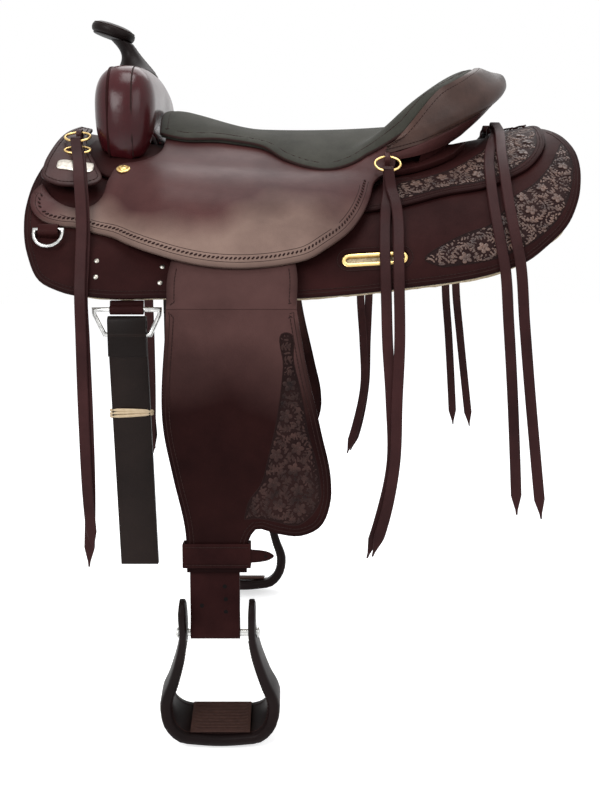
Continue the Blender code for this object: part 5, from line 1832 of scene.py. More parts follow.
@dataclass
class Jockeys:
    """Rear jockeys, which meet behind the cantle, and front jockeys over the front of the seat."""

    shop: Shop
    keeper: Pair = (-280.0, 146.0)
    free: Pair = (285.0, 150.0)
    plate: tuple[float, float, float, float] = (-278.0, 176.0, 22.0, 9.0)
    carved: Points = ((118, 193), (124, 164), (160, 154), (196, 140), (236, 106), (262, 70), (288, 34), (312, 34),
                      (311, 80), (306, 110), (294, 137), (276, 155), (258, 165), (235, 174), (181, 179))

    @staticmethod
    def rear_pattern() -> list[Vector]:
        """Flat outline of a rear jockey.

        Returns:
            The outline's points.
        """
        return outline((
            ((62, 210), (127, 202), (181, 190), (238, 185), (264, 175), (284, 165), (304, 142), (317, 112),
             (322, 80), (325, 30), (324, 2)),
            ((324, 2), (262, 2)),
            ((262, 2), (246, 55), (228, 92), (190, 126), (150, 144), (100, 152), (62, 178)),
            ((62, 178), (62, 210)),
        ), 6.0)

    @staticmethod
    def front_pattern() -> list[Vector]:
        """Flat outline of a front jockey.

        Returns:
            The outline's points.
        """
        return outline((
            ((-292, 62), (-304, 105), (-312, 150), (-316, 185), (-315, 203), (-298, 210), (-277, 208),
             (-256, 202), (-245, 192), (-256, 162), (-271, 130), (-276, 64)),
            ((-276, 64), (-292, 62)),
        ), 5.0)

    def build(self) -> None:
        """Make the four jockeys, their seams, staples and the lace."""
        for side in Side:
            word = side.word
            surface = sided(side)
            face = level(ON_REAR_JOCKEY)
            jockey = Sheet([self.rear_pattern()], surface, face, level(ON_REAR_JOCKEY - REAR_JOCKEY), 9.0)
            place(jockey.build(f"rear_jockey_{word}_leather", SKIRTING, 1.2), SKIRTING, f"rear_jockey_{word}")
            self.shop.border((surface, face, self.rear_pattern()), "rear_jockey", word, (7.0, 3.8),
                             lambda p: p.x > self.free[0] or p.y > self.free[1], (1.0, 0.22))
            dress_region(self.shop, f"rear_jockey_carving_{word}", self.carved, surface, face, seed=23 + side.value)
            foot, _, out = surface_axes(REAR_STAPLE[0], side.value * REAR_STAPLE[1], face)
            arch(f"rear_string_loop_{word}", (foot, FORWARD, out), 2.4, LATIGO, 9.5)
            self._front(side)
        path = smooth_run([on_back(278.0 + 4.5 * i, 9.0 * (0, 1, 0, -1)[i % 4], ON_REAR_JOCKEY + 1.9)
                           for i in range(9)], 1.6)
        place(tube("jockey_lace", path, 1.4, LATIGO, count=10), LATIGO, "rear_jockey_lacing")

    def _front(self, side: Side) -> None:
        """Make one front jockey with its bare plate, seam, keeper and ring staple.

        Args:
            side: the side that it lies on.
        """
        word = side.word
        surface = sided(side)
        pattern = self.front_pattern()
        jockey = Sheet([pattern], surface, front_top, front_lift, 7.0)
        place(jockey.build(f"front_jockey_{word}_leather", SADDLE, 1.2), SADDLE, f"front_jockey_{word}")
        self.shop.sew(f"front_jockey_stitches_{word}", edge_run(surface, front_top, pattern, 5.0))
        x, across, half_length, half_width = self.plate
        loop = [Vector((x + half_length * bent(cos(a), 0.4), across - 3.0 * cos(a) + half_width * bent(sin(a), 0.4)))
                for a in turns(40)]
        plate = Sheet([loop], surface, lambda x, w: front_top(x, w) + 0.9, lambda x, w: front_top(x, w) - 0.2, 4.0)
        place(plate.build(f"bare_plate_{word}", NICKEL, 0.4), NICKEL)
        middle, down, out = surface_axes(self.keeper[0], side.value * self.keeper[1], front_top)
        ahead = out.cross(down).normalized()
        keeper = [middle + out * 2.2 + ahead * (16.0 * cos(a)) + down * (7.5 * sin(a)) for a in turns(48, True)]
        place(tube(f"string_keeper_{word}", keeper, 1.5, BRASS, count=12), BRASS)
        arch(f"front_ring_loop_{word}", ring_seat(side, "front"), 3.4, SADDLE)


# Seat

@dataclass
class Seat:
    """Seat leather with its seat jockeys, and the padded suede seat on it."""

    shop: Shop
    screw: Pair = (-220.0, 168.0)
    laced_across: float = 243.5
    laced_front: Pair = (-313.0, 214.0)
    laced_rear: Pair = (45.0, 172.0)

    @staticmethod
    def under(x: float, across: float) -> float:
        """Underside of the seat leather, moulded softly over the stirrup leathers.

        Args:
            x: place along the saddle.
            across: distance across the back on its arc.

        Returns:
            The offset in millimetres.
        """
        wide = abs(across)
        fall = 88.0 if x < SWING_X else 130.0
        along = 1.0 - smooth_step((abs(x - SWING_X) - 82.0) / fall)
        return seat_lift(x, across, max(along * smooth_step((wide - 140.0) / 85.0), shelf(x, across)))

    def over(self, x: float, across: float) -> float:
        """Outer face of the seat leather."""
        return self.under(x, across) + SEAT_LEATHER

    @staticmethod
    def leather_pattern() -> list[Vector]:
        """Flat outline of the seat leather with both seat jockeys.

        Returns:
            The outline's points.
        """
        runs = (
            ((-180, 0), (-180, 50), (-177, 84), (-182, 122), (-204, 148), (-226, 160), (-238, 186)),
            ((-238, 186), (-243, 208), (-256, 224), (-279, 230), (-302, 220), (-316, 203)),
            ((-316, 203), (-327, 222), (-324, 243), (-310, 256), (-289, 259), (-268, 257), (-248, 260),
             (-226, 264), (-207, 273), (-181, 283), (-140, 292), (-95, 296), (-49, 294), (-15, 289),
             (12, 282), (35, 267), (58, 249), (74, 227), (86, 198), (94, 170), (106, 158), (118, 149), (122, 134)),
            ((122, 134), (127, 112), (144, 80), (164, 40), (172, 0)),
        )
        return doubled([p for run in runs for p in smooth_run(run, 7.0)[:-1]] + [Vector(runs[-1][-1])])

    @staticmethod
    def pad_pattern() -> list[Vector]:
        """Flat outline of the padded seat.

        Returns:
            The outline's points.
        """
        seam = [Vector(seam_across(CANTLE_END * i / 24)) for i in range(24, -1, -1)]
        runs = (
            ((-184, 0), (-185, 45), (-183, 80)),
            ((-183, 80), (-155, 85), (-98, 75), (-54, 85), (-17, 124), (13, 141), (32, 146), (61, 139), (84, 129)),
            ((84, 129), seam_across(CANTLE_END)),
        )
        return doubled([p for run in runs for p in smooth_run(run, 6.0)[:-1]] + seam)

    def build(self) -> None:
        """Make the seat leather, its border, the pad and the ring staples."""
        pattern = self.leather_pattern()
        leather = Sheet([pattern], on_back, self.over, self.under, 8.0)
        place(leather.build("seat_leather_cut", BURGUNDY, 1.3), BURGUNDY, "seat_leather")

        def border(gap: float, lift: float) -> list[Run]:
            """Line of the laced border at a gap inside the edge."""
            return edge_run(on_back, self.over, pattern, gap, lift, self._laced)

        self.shop.sew("seat_border_lacing", border(11.0, 0.2), spacing=5.2, slant=42.0, bold=True)
        score("seat_border_crease", border(6.4, 0.0) + border(15.4, 0.0), (0.9, 0.22))
        self._pad()
        for side in Side:
            arch(f"middle_ring_loop_{side.word}", ring_seat(side, "middle"), 3.4, BURGUNDY)
            self._screw(side)

    def _laced(self, spot: Vector) -> bool:
        """Tell whether the edge is laced at a flat point: low on the jockeys, and round their two ends.

        Args:
            spot: the flat point.

        Returns:
            Whether it is laced there.
        """
        (front, past_front), (rear, past_rear) = self.laced_front, self.laced_rear
        wide = abs(spot.y)
        at_end = (spot.x < front and wide > past_front) or (spot.x > rear and wide > past_rear)
        return at_end or wide > self.laced_across

    def _pad(self) -> None:
        """Make the padded seat, crowned inside its sewn edge."""
        pattern = self.pad_pattern()
        loop = [np.array([tuple(p) for p in pattern])]

        def top(x: float, across: float) -> float:
            """Offset of the pad's top, with its crown, its rolled edge and the sunk channel of its seam.

            Args:
                x: place along the saddle.
                across: distance across the back.

            Returns:
                The offset in millimetres.
            """
            gap = float(rim_distance(np.array([[x, across]]), loop)[0])
            crown = 1.9 * smooth_step(gap / 30.0) - 1.7 * (1.0 - smooth_step(gap / 7.0))
            return pad_top(x, across) + crown - 0.9 * bell((gap - 9.0) / 3.5)

        pad = Sheet([pattern], on_back, top, lambda x, w: seat_top(x, w) + 0.9, 5.5).build("padded_seat", SLATE, 1.2)
        place(pad, SLATE, "seat_pad")
        self.shop.sew("pad_stitches", edge_run(on_back, top, pattern, 9.0, 0.1), spacing=4.4)
        line = edge_run(on_back, lambda x, w: pad_top(x, w) - 3.4, pattern, -0.2, 0.0)
        place(crease("pad_binding", line[0], 3.0, 1.5, THREAD), THREAD)

    def _screw(self, side: Side) -> None:
        """Set the brass screw and its ferrule under the swell.

        Args:
            side: the side that they are on.
        """
        point, out = on_face(sided(side), *self.screw, self.over(*self.screw))
        for name, profile in (
                ("seat_ferrule", ((-0.5, 8.5), (0.8, 8.5), (1.5, 7.8), (1.6, 6.0), (0.8, 5.4), (0.6, 0.2))),
                ("seat_screw", ((0.2, 4.9), (1.4, 4.9), (2.6, 4.0), (3.1, 2.2), (3.3, 0.2)))):
            place(lathe(f"{name}_{side.word}", point, out, profile, BRASS), BRASS)


# Cantle

def seam_across(share: float) -> Pair:
    """Find the cantle roll's seam, just inside the roll.

    Args:
        share: share of the way from the centre line to the roll's end.

    Returns:
        The place along the saddle and the distance across.
    """
    x, across = cantle_seam(share)
    return x - 1.1, max(across - 1.1 * share, 0.0)


def cantle_seam(share: float) -> Pair:
    """Find the seam between the cantle's roll and the seat.

    Args:
        share: share of the way from the centre line to its end.

    Returns:
        The place along the saddle and the distance across.
    """
    turn = min(share, 1.0) * pi / 2
    x = CANTLE_BASE_X + 143.0 * max(cos(turn), 0.0) ** 0.9
    return x, across_at(CANTLE_HALF_WIDTH * sin(turn), 100.0 - 60.0 * share**4)


def cantle_curves(share: float) -> Axes:
    """Find three places round the cantle on the off side: its seam, its outer edge and its foot.

    Args:
        share: share of the way from the centre line to the roll's end.

    Returns:
        The three places.
    """
    turn = share * pi / 2
    x, across = cantle_seam(share)
    seam = on_back(x, across, pad_top(x, across) + 0.5)
    edge = Vector((CANTLE_BASE_X + 190.0 * cos(turn) ** 1.05, 152.0 * sin(turn), 129.0 - 106.0 * share))
    foot_x = CANTLE_BASE_X + 131.0 * cos(turn) ** 0.9
    foot_y = CANTLE_HALF_WIDTH * sin(turn)
    return seam, edge, Vector((foot_x, foot_y, over_back(foot_x, foot_y, 30.0 + 11.0 * share)))


@dataclass
class Cantle:
    """Broad roll over the crest of the cantle, and the leather down its back."""

    shop: Shop
    stations: int = 28
    end: float = 0.95
    wall: float = 5.0
    back_wall: float = 3.5

    def build(self) -> None:
        """Make the roll, the back and their seams."""
        rolls: list[list[Vector]] = []
        backs: list[list[Vector]] = []
        seam_line: list[Spot] = []
        back_line: list[Spot] = []
        for i in range(-self.stations, self.stations + 1):
            share = self.end * abs(i) / self.stations
            flip = Vector((1.0, -1.0 if i < 0 else 1.0, 1.0))
            seam, edge, foot = cantle_curves(share)
            over = (edge - seam).normalized()
            down = (foot - edge).normalized()
            rim = Vector((over.x, over.y, 0.0)).normalized().cross(Vector((0.0, 0.0, 1.0)))
            below = rim.cross(over).normalized()
            below = below if below.z < 0 or abs(below.z) < 0.3 and below.x < 0 else -below
            inward = rim.cross(down).normalized()
            inward = inward if inward.dot(seam - foot) > 0 else -inward
            mitre = (below + inward) / (1.0 + below.dot(inward))
            drop = Vector((0.0, -sin(seam.y / BACK_RADIUS), -cos(seam.y / BACK_RADIUS)))
            lip = min(14.0, 0.45 * (foot - edge).length)
            under = edge + down * lip
            bulge = (seam + edge) / 2 - below * 3.0
            outer = even([seam, seam + over * 3.0 - below * 1.8, bulge, edge - over * 4.0 - below * 1.6,
                          edge + down * 2.5 - over * 0.3, under], 18)
            inner = [under + inward * self.wall, edge + mitre * self.wall, seam + drop * self.wall]
            rolls.append([p * flip for p in outer + inner])
            top = under + down * 1.8
            skin = even([top, top.lerp(foot, 0.5) - inward * 1.2, foot], 8)
            backs.append([p * flip for p in skin + [foot + inward * self.back_wall, top + inward * self.back_wall]])
            seam_line.append(((seam + over * 6.0 - below * 2.5) * flip, -below * flip))
            back_line.append(((under - down * 5.0 - inward * 0.1) * flip, -inward * flip))
        place(loft("cantle_roll_leather", rolls, ROLL, sharp=55.0), ROLL, "cantle_roll")
        place(loft("cantle_back_leather", backs, BURGUNDY, sharp=55.0), BURGUNDY, "cantle_back")
        self.shop.sew("cantle_roll_stitches", [seam_line], spacing=5.2)
        self.shop.sew("cantle_back_stitches", [back_line], spacing=4.6)


# Swell and horn

def fork_section(y: float) -> tuple[float, float, float]:
    """Find the swell's section at a distance across.

    Args:
        y: distance across.

    Returns:
        The middle height, half the length and half the height.
    """
    wide = abs(y)
    start = 0.68 * FORK_HALF_WIDTH
    round_off = max(1.0 - max((wide - start) / (FORK_HALF_WIDTH - start), 0.0) ** 2.4, 0.0) ** 0.5
    top = FORK_TOP - 7.0 * (wide / 110.0) ** 2
    low = over_back(FORK_X, wide, ON_BARS) + LAYER_GAP
    return (top + low) / 2, max(FORK_HALF_LENGTH * round_off, 0.8), max((top - low) / 2 * round_off, 0.8)


def sag(y: float) -> float:
    """How much deeper the lower half of the swell's section is than the upper one, towards its ends."""
    return 1.0 + 0.5 * smooth_step((abs(y) - 80.0) / 60.0)


def fork_point(y: float, angle: float) -> Vector:
    """Point on the swell's rounded section, kept above what carries it.

    Args:
        y: distance across.
        angle: angle round the section.

    Returns:
        The point in millimetres.
    """
    middle, half_x, half_z = fork_section(y)
    x = FORK_X + half_x * bent(cos(angle), 0.8)
    z = middle + half_z * abs(sin(angle)) ** 0.8 * (1.0 if sin(angle) > 0 else -sag(y))
    return Vector((x, y, max(z, over_back(x, y, ON_BARS) + LAYER_GAP)))


def swell_share(x: float, y: float) -> float:
    """Share of the swell's half height that its section still has at a place."""
    return max(1.0 - (min(abs(x - FORK_X) / fork_section(y)[1], 1.0) ** 1.25) ** 2, 0.0) ** 0.4


@dataclass
class Swell:
    """Swell cover with the welts that run over it and down its ends."""

    shop: Shop
    welts: tuple[float, ...] = (-243.0, -213.0)

    def build(self) -> None:
        """Make the cover and its welts."""
        end = FORK_HALF_WIDTH - 0.8
        rings = [[fork_point(end * sin(pi / 2 * i / 20), a) for a in turns(56)] for i in range(-20, 21)]
        place(loft("swell_leather", rings, SWELL, sharp=60.0), SWELL, "swell_cover")
        bold, fine = (self._over(x) for x in self.welts)
        place(crease("swell_welt_0", bold, 4.6, 1.7, SKIRTING), SKIRTING)
        self.shop.sew("swell_welt_stitches", [[(p + FORWARD * 4.4, out) for p, out in bold]], spacing=4.4)
        place(crease("swell_welt_1", fine, 2.2, 0.5, THREAD), THREAD)

    @staticmethod
    def _over(x: float) -> Run:
        """Line over the swell and down both its ends in an upright plane.

        Args:
            x: place of the plane along the saddle.

        Returns:
            The line as (point, outward direction).
        """
        reach = 150.0
        while fork_section(reach)[1] <= abs(x - FORK_X) + 0.3:
            reach -= 0.5
        low = [(reach * cos(0.16 * i), -1.0) for i in range(1, 5)]
        spots = [(-y, s) for y, s in reversed(low)]
        spots += [(reach * sin(pi / 2 * i / 30), 1.0) for i in range(-30, 31)] + low
        run = []
        for y, up in spots:
            middle, _, half_z = fork_section(y)
            z = middle + (half_z if up > 0 else -half_z * sag(y)) * swell_share(x, y)
            out = Vector((0.0, y * 0.9, (z - middle) * 1.6 + (8.0 if abs(y) < 90 else 0.0)))
            run.append((Vector((x, y, z)), out.normalized()))
        return run


@dataclass
class Horn:
    """Leather-wrapped horn with a tilted round cap."""

    shop: Shop
    cap_radius: float = 30.0
    cap_thick: float = 12.0
    tilt: float = 18.0
    cap: Pair = (-254.0, 198.0)
    neck: float = 12.5
    wrap: float = 4.0
    set_back: float = 16.0

    def build(self) -> None:
        """Make the cap and the wrapped neck."""
        tilt = radians(self.tilt)
        axis = Vector((sin(tilt), 0.0, cos(tilt)))
        forward = Vector((cos(tilt), 0.0, -sin(tilt)))
        across = Vector((0.0, 1.0, 0.0))
        middle = Vector((self.cap[0], 0.0, self.cap[1]))
        lift = middle - axis * self.cap_thick
        profile = even([(0.0, -5.2, 0.0), (0.5, -4.8, 0.0), (0.86, -2.0, 0.0), (0.985, 2.0, 0.0), (1.0, 5.0, 0.0),
                        (0.95, 9.4, 0.0), (0.82, 12.0, 0.0), (0.5, 14.5, 0.0), (0.0, 15.6, 0.0)], 30)
        rings = [ring_points(lift + axis * p.y, forward, across, (max(p.x, 0.01) * self.cap_radius,) * 2, 56)
                 for p in profile]
        place(loft("horn_cap_leather", rings, HORN, sharp=70.0), HORN, "horn_cap")
        rim = [(lift + axis * 10.2 + forward * (27.9 * cos(a)) + across * (27.9 * sin(a)),
                (axis + (forward * cos(a) + across * sin(a)) * 0.8).normalized())
               for a in turns(60, True)]
        self.shop.sew("horn_cap_stitches", [rim], spacing=3.6)
        top = middle - axis * (self.cap_thick + 5.0) + forward * self.set_back
        inner = self.neck - self.wrap + STRAP_GAP
        rings = []
        for i in range(25):
            share = i / 24 * 1.1
            radius = inner + self.wrap + 17.0 * max(1.0 - share, 0.0) ** 3 + 5.0 * min(share, 1.0) ** 4
            shift = Vector((4.0 * sin(pi * min(share, 1.0)), 0.0, 0.0))
            ring = []
            for k in range(40):
                angle = 2 * pi * k / 40
                low = Vector((FORK_X + radius * cos(angle), radius * sin(angle), 0.0))
                low.z = self._on_swell(low.x, low.y) + 0.9
                high = top + forward * (radius * cos(angle)) + across * (radius * sin(angle))
                ring.append(low.lerp(high, share) + shift)
            rings.append(ring)
        place(loft("horn_wrap_leather", rings, HORN, sharp=60.0), HORN, "horn_wrap", "horn_core")
        seam = [(rings[i][0], forward) for i in range(2, 21)]
        self.shop.sew("horn_wrap_stitches", [seam], spacing=4.0)

    @staticmethod
    def _on_swell(x: float, y: float) -> float:
        """Height of the swell's outer face at a place near its middle."""
        middle, _, half_z = fork_section(y)
        return middle + half_z * swell_share(x, y)


# Fenders and stirrup leathers

def unburnt(piece: Piece) -> Piece:
    """Clear the burnished edge along the fender's split, so that its two parts read as one.

    Args:
        piece: one part of the fender.

    Returns:
        The same piece.
    """
    for vertex, rim in zip(piece.data.vertices, piece.data.attributes["rim"].data):
        rim.value *= smooth_step((abs(vertex.co.z / MM - BEND_Z) - 3.0) / 12.0)
    return piece


@dataclass
class Fender:
    """Fender and stirrup leather of one side, with the strap and buckle that join them."""

    shop: Shop
    side: Side
    lobe: Points = ((-161, -309), (-151, -361), (-137, -430), (-136, -478))
    foot: Points = ((-64, -478), (-62, -440), (-53, -425), (-29, -430), (1, -433), (22, -424), (37, -388), (37, -366),
                    (25, -306), (6, -221))
    carved: Points = ((-66, -412), (-61, -392), (-46, -370), (-38, -342), (-30, -308), (-23, -268), (-19, -228),
                      (-18, -190), (-14, -190), (-8, -224), (1, -262), (9, -306), (23, -364), (24, -388), (12, -409),
                      (-2, -419), (-29, -415), (-50, -411))
    holes: Points = ((-91.0, -497.0), (-90.0, -513.0), (-119.0, -521.0), (-90.0, -529.0))
    strap_seams: Pair = (-446.0, -468.0)
    strap_hole: Pair = (-41.0, -457.0)

    def build(self) -> None:
        """Make every piece of this side."""
        word = self.side.word
        slope = Slope(self.side)
        hanging = Hanging(self.side)
        swing = f"leather_swing_{word}"
        body = f"fender_{word}"
        panel = outline((((-156, slope.length - 0.3), (-155, 8), (-146, -22), (-120, -44), (-78, -52), (-36, -44),
                          (-12, -22), (-4, 8), (-4, slope.length - 0.3)),
                         ((-4, slope.length - 0.3), (-156, slope.length - 0.3))), 8.0)
        inner = LEATHER + STRAP_GAP
        # The fender's leather is painted darker as shade, with a painted highlight on its upper part.
        upper = Sheet([panel], slope.at, level(inner + FENDER), level(inner), 14.0)
        place(unburnt(upper.build(f"fender_upper_{word}_leather", SHADED_FENDER_HIDE, 0.5)), SHADED_FENDER_HIDE,
              f"fender_upper_{word}", body=swing)
        self.shop.copy(f"stirrup_leather_upper_{word}", SKIRTING, swing, 1.0)
        top = hanging.hinge.z - 0.2
        pattern = outline((((-156, top), *self.lobe), (self.lobe[-1], self.foot[0]), (*self.foot, (-4, top)),
                           ((-4, top), (-156, top))), 8.0)
        fender = Sheet([pattern], hanging.at, level(0.0), level(-FENDER), 12.0)
        place(unburnt(fender.build(f"fender_{word}_leather", SHADED_FENDER_HIDE, 0.5)), SHADED_FENDER_HIDE, f"fender_{word}",
              body=body)

        def below(p: Vector) -> float:
            """Gap that the seams keep from the split: the line at the very edge goes nearer."""
            return 1.0 if abs(p.x + 80.0) > 64.0 else 12.0

        face = level(0.0)
        self.shop.border((hanging.at, face, pattern), "fender", word, (9.0, 4.6),
                         lambda p: -470.0 < p.y < top - below(p), body=body)
        line = edge_run(slope.at, level(inner + FENDER), panel, 9.0, keep=lambda p: 8.0 < p.y < slope.length - below(p))
        self.shop.sew(f"fender_upper_stitches_{word}", line, swing)
        # The fender's carving uses the darker copy of the tooled leather, as painted shade.
        dress_region(self.shop, f"fender_carving_{word}", self.carved, hanging.at, face, body, 37 + self.side.value,
                     SHADED_TOOLED)
        self._strap(hanging, body)

    def _strap(self, hanging: Hanging, body: str) -> None:
        """Dress the lower leather with its holes, the strap round it and the buckle.

        Args:
            hanging: the plane that the fender hangs in.
            body: the body that they ride on.
        """
        word = self.side.word
        self.shop.copy(f"stirrup_leather_lower_{word}", SKIRTING, body, 1.0, 50.0)
        self.shop.copy(f"leather_buckle_{word}", STEEL, body, 0.6)
        self.shop.copy(f"hobble_strap_{word}", SKIRTING, body, 1.1)
        for k, (x, z) in enumerate(self.holes):
            punch(f"leather_hole_{word}_{k}", on_face(hanging.at, x, z, -(FENDER + STRAP_GAP)), (2.6, 0.55), 20, body)
        for k, z in enumerate(self.strap_seams):
            run = [on_face(hanging.at, x, z, 4.0 + STRAP_GAP) for x in range(-136, -62, 4)]
            self.shop.sew(f"strap_stitches_{word}_{k}", [run], body, 4.2)
        tip = outline((((-60, -449), (-48, -450), (-36, -453), (-31, -457), (-36, -461), (-48, -464), (-60, -465)),
                       ((-60, -465), (-60, -449))), 3.0)
        tongue = Sheet([tip], hanging.at, level(3.6), level(0.9), 5.0)
        place(tongue.build(f"strap_tip_{word}", SKIRTING, 0.8), SKIRTING, body=body)
        punch(f"strap_hole_{word}", on_face(hanging.at, *self.strap_hole, 3.6), (1.9, 0.5), 16, body)


# Stirrups

@dataclass
class Stirrup:
    """Leather-covered stirrup with its bolt and ribbed tread pad."""

    shop: Shop
    side: Side
    bottom: float = -709.0
    lean: float = 16.0
    shift: float = 3.0
    half_width: float = 75.0
    ear: float = 42.0
    ear_rise: float = 44.0
    thick: float = 15.0
    tread: float = 66.0
    ear_depth: float = 34.0

    def stations(self) -> list[tuple[float, float, float, float]]:
        """Middle line from one ear to the other: x, z, thickness and depth.

        Returns:
            The stations.
        """
        half = self.half_width - self.thick / 2
        drop = self.bottom - BOLT_Z + self.thick / 2
        ear = self.ear
        deep = self.ear_depth
        one = [
            (ear, self.ear_rise, 7.0, deep * 0.5), (ear, self.ear_rise - 4.0, 8.5, deep * 0.82),
            (ear, self.ear_rise - 14.0, 9.0, deep), (ear, 0.0, 9.0, deep), (ear + 4.0, -26.0, 11.0, deep),
            (half - 10.0, drop * 0.48, 13.0, deep + 2.0), (half, drop * 0.7, self.thick, deep + 8.0),
            (half - 4.0, drop * 0.86, self.thick, self.tread - 8.0),
            (half - 18.0, drop * 0.97, self.thick, self.tread), (half * 0.4, drop, self.thick, self.tread)]
        return one + [(-x, z, thick, depth) for x, z, thick, depth in reversed(one)]

    def build(self) -> None:
        """Make the frame, the seams, the bolt and the pad."""
        word = self.side.word
        body = f"stirrup_{word}"
        hanging = Hanging(self.side)
        bolt = hanging.at(LEATHER_X + self.shift, BOLT_Z, -(FENDER + STRAP_GAP + LEATHER / 2))
        turn = Matrix.Rotation(radians(self.lean) * -self.side.value, 3, "X")
        stations = self.stations()
        half = [(0.5, 0.36), (0.42, 0.47), (0.3, 0.5), (-0.3, 0.5), (-0.42, 0.47), (-0.5, 0.36)]
        section = half + [(-u, -v) for u, v in half]
        fine = even([(x, z, 0.0) for x, z, _, _ in stations], 61)
        gone = [0.0]
        for a, b in zip(stations, stations[1:]):
            gone.append(gone[-1] + ((a[0] - b[0]) ** 2 + (a[1] - b[1]) ** 2) ** 0.5)
        rings = []
        for i, point in enumerate(fine):
            thick, depth = (float(np.interp(gone[-1] * i / 60, gone, [s[k] for s in stations])) for k in (2, 3))
            along = (fine[min(i + 1, 60)] - fine[max(i - 1, 0)]).normalized()
            out = Vector((-along.y, 0.0, along.x))
            centre = Vector((point.x, 0.0, point.y))
            rings.append([bolt + turn @ (centre + out * (u * thick) + Vector((0.0, v * depth, 0.0)))
                          for u, v in section])
        place(loft(f"stirrup_{word}_leather", rings, STIRRUP, sharp=60.0), STIRRUP, f"stirrup_{word}", body=body)
        for name, k in (("near", 6), ("far", 5)):
            seam = []
            for ring in rings[6:-6]:
                out = (ring[k] - sum(ring, Vector()) / len(ring)).normalized()
                seam.append((ring[k] + out * 0.2, out))
            self.shop.sew(f"stirrup_stitches_{name}_{word}", [seam], body)
        self._bolt(bolt, body)
        self._pad(bolt, turn, body)

    def _bolt(self, bolt: Vector, body: str) -> None:
        """Make the bolt with its domed heads.

        Args:
            bolt: its middle.
            body: the body that it rides on.
        """
        reach = self.ear + 6.2
        head = [(reach + 3.4, 0.4), (reach + 3.0, 3.6), (reach + 1.6, 6.0), (reach, 6.5), (reach, 4.0)]
        profile = [(-x, radius) for x, radius in head] + head[::-1]
        place(lathe(f"stirrup_bolt_{self.side.word}_steel", bolt, FORWARD, profile, STEEL), STEEL,
              f"stirrup_bolt_{self.side.word}", body=body)

    def _pad(self, bolt: Vector, turn: Matrix, body: str) -> None:
        """Make the tread pad and its ribs.

        Args:
            bolt: middle of the stirrup's bolt.
            turn: how the stirrup leans.
            body: the body that they ride on.
        """
        word = self.side.word
        half = self.half_width * 0.5
        deep = self.tread / 2 - 6.0
        floor = self.bottom - BOLT_Z + self.thick + 0.5

        def lie(x: float, y: float, height: float) -> Vector:
            """Surface of the tread."""
            return bolt + turn @ Vector((x, y, height + 0.012 * max(abs(x) - 24.0, 0.0) ** 2))

        loop = [Vector(p) for p in ((-half, -deep), (half, -deep), (half, deep), (-half, deep))]
        pad = Sheet([loop], lie, level(floor + 3.0), level(floor), 8.0)
        place(pad.build(f"tread_{word}_pad", TREAD, 0.9), TREAD, f"stirrup_tread_{word}", body=body)
        for k in range(9):
            y = -deep + 5.0 + (2 * deep - 10.0) * k / 8
            rib = [(lie(x, y, floor + 3.1), turn @ Vector((0.0, 0.0, 1.0))) for x in range(-34, 35, 4)]
            place(crease(f"tread_rib_{word}_{k}", rib, 2.6, 0.8, TREAD), TREAD, body=body)


# Rigging and rings

